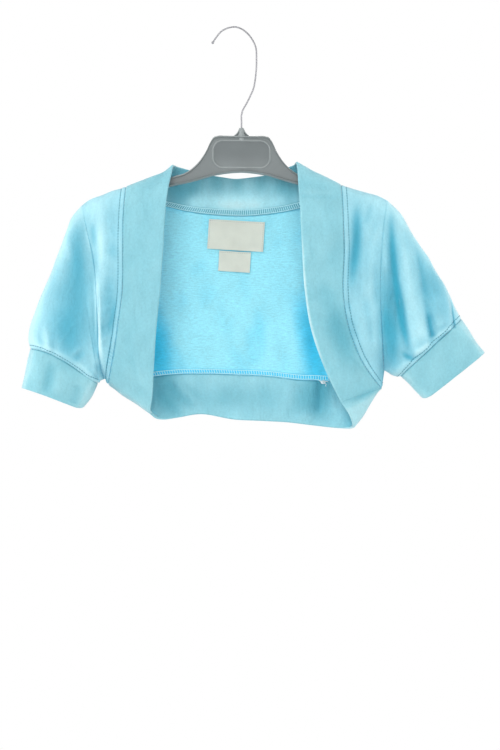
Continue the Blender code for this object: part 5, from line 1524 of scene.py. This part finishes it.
def jersey(name, pale, deep):
    """The smooth outer face of the sweatshirt knit."""
    graph = Graph(name)
    grain, across, along, hollow = graph.grain()
    place = graph.place()
    cloud = graph.noise(place, 32.0)
    fibre = graph.noise(graph.stretched(grain, (1400.0, 420.0, 1.0)), 1.0, 2.0)
    blotch = graph.noise(place, 420.0, 3.0, 0.6)
    crease = graph.noise(graph.stretched(place, (190.0, 190.0, 60.0)), 1.0, 4.0, 0.6)
    fuzz = graph.noise(place, 900.0, 3.0, 0.7)
    knit = knit_height(graph, across, along, WALE, COURSE)
    # Painted shade: the colour deepens in occluded corners, in hollows and with the listed painted
    # shade kept on the grain; where that runs below zero it turns to a painted highlight.
    shade = graph.math("ADD", graph.occlusion(0.030, 0.25, 0.9, 1.0),
                       graph.math("ADD", hollow, BASE_SHADE))
    highlight_share = graph.remap(shade, 0.0, -0.6)
    colour = graph.mix(highlight_share, graph.mix(graph.softened(shade), pale, deep), PAINTED_HIGHLIGHT)
    tone = graph.product(graph.mottle(cloud, 0.96, 1.03), graph.mottle(crease, 0.965, 1.03),
                         graph.remap(fibre, 0.2, 0.8, 0.955, 1.04),
                         graph.mottle(blotch, 0.95, 1.035))
    bumps = [(knit, 0.35, 0.00018), (crease, 0.7, 0.0024), (blotch, 0.4, 0.0006),
             (fuzz, 0.3, 0.0003)]
    return graph.finish(colour, tone, bumps, KNIT_FINISH)


def fleece(name, pale, deep):
    """The looped inner face, streaked along its rows."""
    graph = Graph(name)
    grain, _, _, hollow = graph.grain()
    place = graph.place()
    streak = graph.noise(graph.stretched(grain, (190.0, 1000.0, 1.0)), 1.0, 4.0, 0.65)
    cloud = graph.noise(place, 45.0)
    curl = graph.noise(place, 700.0, 3.0, 0.7)
    # Painted shade: the colour deepens in occluded corners and with the painted shade kept on the
    # grain.
    shade = graph.math("ADD", graph.occlusion(0.035, 0.2, 0.85, 0.5), hollow)
    colour = graph.mix(graph.softened(shade), pale, deep)
    tone = graph.product(graph.mottle(streak, 0.86, 1.09), graph.mottle(cloud, 0.95, 1.03),
                         graph.mottle(curl, 0.93, 1.06))
    return graph.finish(colour, tone, [(streak, 0.5, 0.0005), (curl, 0.6, 0.0006)], FLEECE_FINISH)


def plain(name, colour, spread, bump, scale, finish):
    """A simple finish with a little unevenness in its tone and surface."""
    graph = Graph(name)
    grit = graph.noise(graph.place(), scale)
    tone = graph.mottle(grit, 1 - spread, 1 + spread)
    return graph.finish(colour, tone, [(grit, bump, 0.0002)], finish)


def moulded(name, deep, pale, roughness):
    """Moulded plastic, with painted highlights at its rims and beads and painted shade inside its
    plate and on its gussets.
    """
    graph = Graph(name)
    place = graph.place()
    # The edge attribute holds the painted light of each point.
    edge = graph.node("Attribute", attribute_name="edge").outputs["Fac"]
    grit = graph.noise(place, 1500.0)
    cloud = graph.noise(place, 30.0)
    tone = graph.product(graph.mottle(grit, 0.97, 1.03), graph.mottle(cloud, 0.93, 1.06))
    return graph.finish(graph.mix(edge, deep, pale), tone, [(grit, 0.1, 0.0001)],
                        {"Roughness": roughness})


def satin(name, colour):
    """Woven label tape: fine ribs across it and a soft shine."""
    graph = Graph(name)
    _, across, along, _ = graph.grain()
    rib = graph.math("SINE", graph.math("MULTIPLY", along, FULL_TURN / TAPE_RIB))
    warp = graph.math("SINE", graph.math("MULTIPLY", across, FULL_TURN / TAPE_WARP))
    weave = graph.math("MULTIPLY", rib, warp)
    cloud = graph.noise(graph.place(), 90.0)
    tone = graph.math("ADD", graph.mottle(cloud, 0.95, 1.03), graph.math("MULTIPLY", weave, 0.02))
    return graph.finish(colour, tone, [(weave, 0.25, 0.0001)], SATIN_FINISH)


def label_sheet(name, back):
    """A label lying on the inside of the back, a little proud at its lower edge."""
    middle, size, _ = LABELS[name]
    places = np.arange(back.grid[..., 0].size).reshape(back.grid.shape[:2])
    surface = BVHTree.FromPolygons([Vector(p) for p in back.inner.reshape((-1, 3))],
                                   cells_of(places).reshape((-1, 4)).tolist())
    across = np.linspace(-0.5, 0.5, LABEL_STEPS[0] + 1) * size[0]
    down = np.linspace(0.5, -0.5, LABEL_STEPS[1] + 1) * size[1]
    grid = np.empty((len(down), len(across), 3))
    across_rate, skew_rate, down_rate, phase = LABEL_WAVE_RATES
    for i, v in enumerate(down):
        for j, u in enumerate(across):
            x = middle[0] + u * math.cos(LABEL_TILT) - v * math.sin(LABEL_TILT)
            z = middle[1] + u * math.sin(LABEL_TILT) + v * math.cos(LABEL_TILT)
            hit = surface.ray_cast(Vector((x, RAY_START, z)), Vector((0.0, 1.0, 0.0)))[0]
            lift = LABEL_LIFT * (0.5 - v / size[1]) ** 3 + LABEL_CURL * (2 * u / size[0]) ** 4
            lift += (LABEL_WAVE * math.sin(u * across_rate + v * skew_rate)
                     * math.sin(v * down_rate + phase))
            grid[i, j] = (x, hit[1] - LABEL_CLEARANCE - lift, z)
    sheet = Sheet(name, grid, LABEL_WALL, "", "flat")
    face_outward(sheet, lambda middles: middles + np.array([0.0, LABEL_AXIS_BEHIND, 0.0]))
    shared_normals([sheet])
    return sheet


def mark_painted_light(obj, values):
    """Keep the painted light of the plastic at each point."""
    mark = obj.data.attributes.new("edge", "FLOAT", "POINT")
    mark.data.foreach_set("value", np.asarray(values, np.float32).ravel())


def hanger_shell(plastic):
    """The moulded hanger, with a bead along its edges and round the plate in its middle."""
    outline = np.array(HANGER_OUTLINE)
    reach = outline[-1, 0]
    arm, middle = HANGER_STATIONS
    x = np.concatenate([np.linspace(-reach, -HANGER_MIDDLE, arm)[:-1],
                        np.linspace(-HANGER_MIDDLE, HANGER_MIDDLE, middle),
                        np.linspace(HANGER_MIDDLE, reach, arm)[1:]])
    ends = glide(outline[:, 0], outline[:, 1:], np.abs(x))
    top, low = ends[:, :1], ends[:, 1:]
    t = crowded(HANGER_STEPS, HANGER_CROWDING)
    z = top * (1 - t) + low * t
    flat_x = np.broadcast_to(x[:, None], z.shape)
    from_top = top - z
    from_low = z - low
    edge = np.minimum(np.minimum(from_top, from_low), reach - np.abs(flat_x))
    soft = 1 - np.clip(edge / HANGER_EDGE, 0, 1)
    depth = HANGER_HALF_THICK - HANGER_EDGE * (1 - np.sqrt(np.clip(1 - soft ** 2, 0, 1)))

    def from_start(values, start, length):
        """0 up to a start, and 1 from a length past it."""
        return smooth_step((values - start) / length)

    depth -= (HANGER_RECESS * from_start(edge, *RECESS_FROM_EDGE)
              * from_start(top - low, *RECESS_FROM_HEIGHT))
    corner = np.maximum(np.abs(flat_x) - (PAD_SIZE[0] / 2 - PAD_ROUNDING), 0)
    drop = np.maximum(np.abs(z - PAD_MIDDLE_Z) - (PAD_SIZE[1] / 2 - PAD_ROUNDING), 0)
    bead = np.hypot(corner, drop) - PAD_ROUNDING
    depth += PAD_BEAD * bell(bead / PAD_BEAD_WIDTH)
    depth -= PAD_SUNK * smooth_step(-bead)
    # Painted highlights on the bead and the rims, and painted shade inside the plate towards its
    # top.
    paleness, width = BEAD_HIGHLIGHT
    pale = PAINTED_LIGHT_BASE + paleness * bell(bead / width)
    for distance, (paleness, *fade) in ((from_top, TOP_HIGHLIGHT), (from_low, LOW_HIGHLIGHT)):
        pale += paleness * (1 - from_start(distance, *fade))
    inward, *upward = PAD_SHADE
    pale -= PAINTED_LIGHT_BASE * smooth_step(-bead / inward) * from_start(z, *upward)
    front = np.stack([STEM_X + flat_x, -depth, z + flat_x * math.tan(HANGER_TILT)], axis=-1)
    back = front * np.array([1, -1, 1])
    loop = np.concatenate([front, back[:, ::-1]], axis=1)
    count = loop.shape[1]
    here = np.arange(loop[:-1, :, 0].size).reshape((-1, count))
    there = np.roll(here, -1, axis=1)
    faces = np.stack([here, there, count + there, count + here], axis=-1)
    faces = faces.reshape((-1, 4)).tolist()
    tail = (len(x) - 1) * count
    for a in range(HANGER_STEPS):
        b, c, d = a + 1, count - 2 - a, count - 1 - a
        faces.append([a, d, c, b])
        faces.append([tail + b, tail + c, tail + d, tail + a])
    moulding = mesh_object("hanger_moulding", loop.reshape((-1, 3)), faces, [plastic])
    mark_painted_light(moulding, np.concatenate([pale, pale[:, ::-1]], axis=1))
    return moulding


def boss_shell(plastic):
    """The boss that the hook goes into, between its two small gussets."""
    sides = BOSS_SIDES
    vertices = []
    for radius, z in BOSS_PROFILE:
        for k in range(sides):
            angle = 2 * math.pi * k / sides
            vertices.append((STEM_X + radius * math.cos(angle), radius * math.sin(angle), z))
    last = len(BOSS_PROFILE) - 2
    faces = []
    for i in range(1, last):
        for k in range(sides):
            a, b = i * sides + k, i * sides + (k + 1) % sides
            faces.append([a, b, b + sides, a + sides])
    faces.append([sides + k for k in range(sides)][::-1])
    faces.append([last * sides + k for k in range(sides)])
    parts = [(np.array(vertices), faces)]
    # The boss and ribs take painted highlights, the gussets full painted shade.
    shades = [BOSS_HIGHLIGHT]
    count = len(GUSSET_OUTLINE)
    loops = [list(range(count))[::-1], [k + count for k in range(count)]]
    loops += [[k, (k + 1) % count, (k + 1) % count + count, k + count] for k in range(count)]
    for way in (-1, 1):
        plate = np.array([(STEM_X + way * x, y, z) for y in (-GUSSET_HALF, GUSSET_HALF)
                          for x, z in GUSSET_OUTLINE])
        parts.append((plate, [loop[::way] for loop in loops]))
        shades.append(0.0)
        rib = curve([(STEM_X + way * x, 0.0, z) for x, z in RIB_PATH], RIB_STEPS)
        for y in RIB_PLACES:
            path = (rib + np.array([0.0, y, 0.0]))[None]
            up = np.broadcast_to([0.0, -1.0, 0.0], path.shape)
            parts.append(tubes(path, up, RIB_RADIUS))
            shades.append(RIB_HIGHLIGHT)
    boss = mesh_object("hanger_boss", *joined(parts), [plastic])
    mark_painted_light(boss, np.repeat(shades, [len(points) for points, _ in parts]))
    return boss


def hook_shell(wire):
    """The wire hook, a round bar with a small ball at its tip."""
    path = curve([(x, 0.0, z) for x, z in HOOK_PATH], HOOK_STEPS)
    radii = np.full(len(path), HOOK_WIRE_RADIUS)
    radii[:len(HOOK_TIP_RADII)] = HOOK_TIP_RADII
    up = np.array([0.0, 1.0, 0.0])
    across = unit(np.cross(unit(np.gradient(path, axis=0)), up))
    sides = HOOK_SIDES
    vertices, faces = [], []
    for k, (point, radius) in enumerate(zip(path, radii)):
        for s in range(sides):
            angle = 2 * math.pi * s / sides
            vertices.append(point + (across[k] * math.cos(angle) + up * math.sin(angle)) * radius)
    for k in range(len(path) - 1):
        for s in range(sides):
            a, b = k * sides + s, k * sides + (s + 1) % sides
            faces.append([a, b, b + sides, a + sides])
    faces.append(list(range(sides))[::-1])
    faces.append([(len(path) - 1) * sides + s for s in range(sides)])
    return mesh_object("hook_wire", vertices, faces, [wire])


def tie(piece, stands_for=None):
    """Tie a piece to the body, and hide the solid that it stands for."""
    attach(piece, "root")
    if stands_for:
        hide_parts(stands_for)
    return piece


def dress():
    """Make every piece and tie it to the part."""
    outside = jersey("body_knit", JERSEY_PALE, JERSEY_PAINTED_SHADE)
    trim = jersey("band_knit", BAND_PALE, BAND_PAINTED_SHADE)
    inside = fleece("fleece", FLEECE_PALE, FLEECE_PAINTED_SHADE)
    # The bands' inner faces are painted paler, against the shade they lie in.
    trim_inside_painted_light = jersey("band_knit_inside_painted_light", BAND_INSIDE_PAINTED_LIGHT, BAND_PAINTED_SHADE)
    threads = {kind: plain(name, colour, spread, 0.2, 3000.0, {"Roughness": 0.6})
               for kind, (name, colour, spread) in THREADS.items()}
    cream = satin("label_tape", LABEL_CREAM)
    plastic = moulded("moulded_plastic", PLASTIC_PAINTED_SHADE, PLASTIC_PAINTED_HIGHLIGHT, 0.42)
    wire = plain("drawn_wire", WIRE_STEEL, 0.02, 0.01, 300.0, {"Roughness": 0.5, "Metallic": 1.0})

    sheets = cloth_sheets()
    press_seams(sheets)
    press_allowances(sheets)
    made, sewing = {}, {}
    for name, sheet in sheets.items():
        double = "band" in name or "cuff" in name
        faces = (trim, trim_inside_painted_light) if double else (outside, inside)
        made[name] = tie(shell(sheet, *faces), name)
    for (kind, name), parts in add_stitches(sheets).items():
        stitches = mesh_object(kind + "_" + name, *joined(parts), [threads[kind]])
        sewing[kind, name] = tie(stitches)
    for name, label in LABELS.items():
        sheet = label_sheet(name, sheets["back"])
        made[name] = tie(shell(sheet, cream, cream), name)
        rows = [topstitch(thread_line(sheet, side, LABEL_STITCH_IN), *LABEL_STITCH)
                for side in label.sewn]
        stitches = mesh_object("stitch_" + name, *joined(rows), [threads["stitch"]])
        sewing["stitch", name] = tie(stitches)
    knot = mesh_object("thread_knot", *thread_knot(sheets["hem_band"]), [threads["knot"]])
    sewing["knot", "hem_band"] = tie(knot)

    tie(hanger_shell(plastic), "hanger")
    tie(boss_shell(plastic))
    tie(hook_shell(wire), "hanger_hook")


def light(name, place, aim, size, power):
    """An oblong lamp that aims at the garment's middle, at a height above the origin."""
    data = bpy.data.lights.new(name, "AREA")
    data.shape = "RECTANGLE"
    data.size, data.size_y = size
    data.energy = power
    lamp = bpy.data.objects.new(name, data)
    bpy.context.scene.collection.objects.link(lamp)
    lamp.location = place
    towards = Vector((0.0, 0.0, aim)) - Vector(place)
    lamp.rotation_euler = towards.to_track_quat("-Z", "Y").to_euler()


def white_stage():
    """A pale floor well below the garment, and a surround that the camera sees as plain white."""
    world = bpy.data.worlds.new("surround")
    bpy.context.scene.world = world
    world.use_nodes = True
    nodes, links = world.node_tree.nodes, world.node_tree.links
    background = nodes["Background"]
    background.inputs["Color"].default_value = (1.0, 1.0, 1.0, 1.0)
    path = nodes.new("ShaderNodeLightPath")
    strength = nodes.new("ShaderNodeMapRange")
    strength.inputs["To Min"].default_value = SKY_LIGHT
    strength.inputs["To Max"].default_value = 1.0
    links.new(path.outputs["Is Camera Ray"], strength.inputs["Value"])
    links.new(strength.outputs[0], background.inputs["Strength"])

    mesh = bpy.data.meshes.new("floor")
    corners = [(x * FLOOR_HALF, y * FLOOR_HALF, FLOOR_Z)
               for x, y in ((-1, -1), (1, -1), (1, 1), (-1, 1))]
    mesh.from_pydata(corners, [], [(0, 1, 2, 3)])
    floor = bpy.data.objects.new("floor", mesh)
    bpy.context.scene.collection.objects.link(floor)
    graph = Graph("floor_paper")
    graph.shader.inputs["Base Color"].default_value = (0.8, 0.8, 0.8, 1.0)
    mixed = graph.node("MixShader", {
        0: graph.node("LightPath").outputs["Is Camera Ray"], 1: graph.shader.outputs[0],
        2: graph.node("Emission", {"Strength": 1.0}).outputs[0]})
    graph.put(graph.tree.nodes["Material Output"].inputs["Surface"], mixed.outputs[0])
    mesh.materials.append(graph.material)


def set_camera():
    """A camera straight in front, whose frame is as high as the photograph's."""
    data = bpy.data.cameras.new("camera")
    data.lens = SENSOR * CAMERA_DISTANCE / FRAME_HEIGHT
    data.sensor_width = SENSOR
    camera = bpy.data.objects.new("camera", data)
    bpy.context.scene.collection.objects.link(camera)
    x, y, z = CAMERA_TARGET
    camera.location = (x, y - CAMERA_DISTANCE, z)
    camera.rotation_euler = (math.pi / 2, 0.0, 0.0)
    bpy.context.scene.camera = camera


dress()
white_stage()
for row in LIGHTS:
    light(*row)
set_camera()
bpy.context.scene.view_settings.view_transform = "Standard"
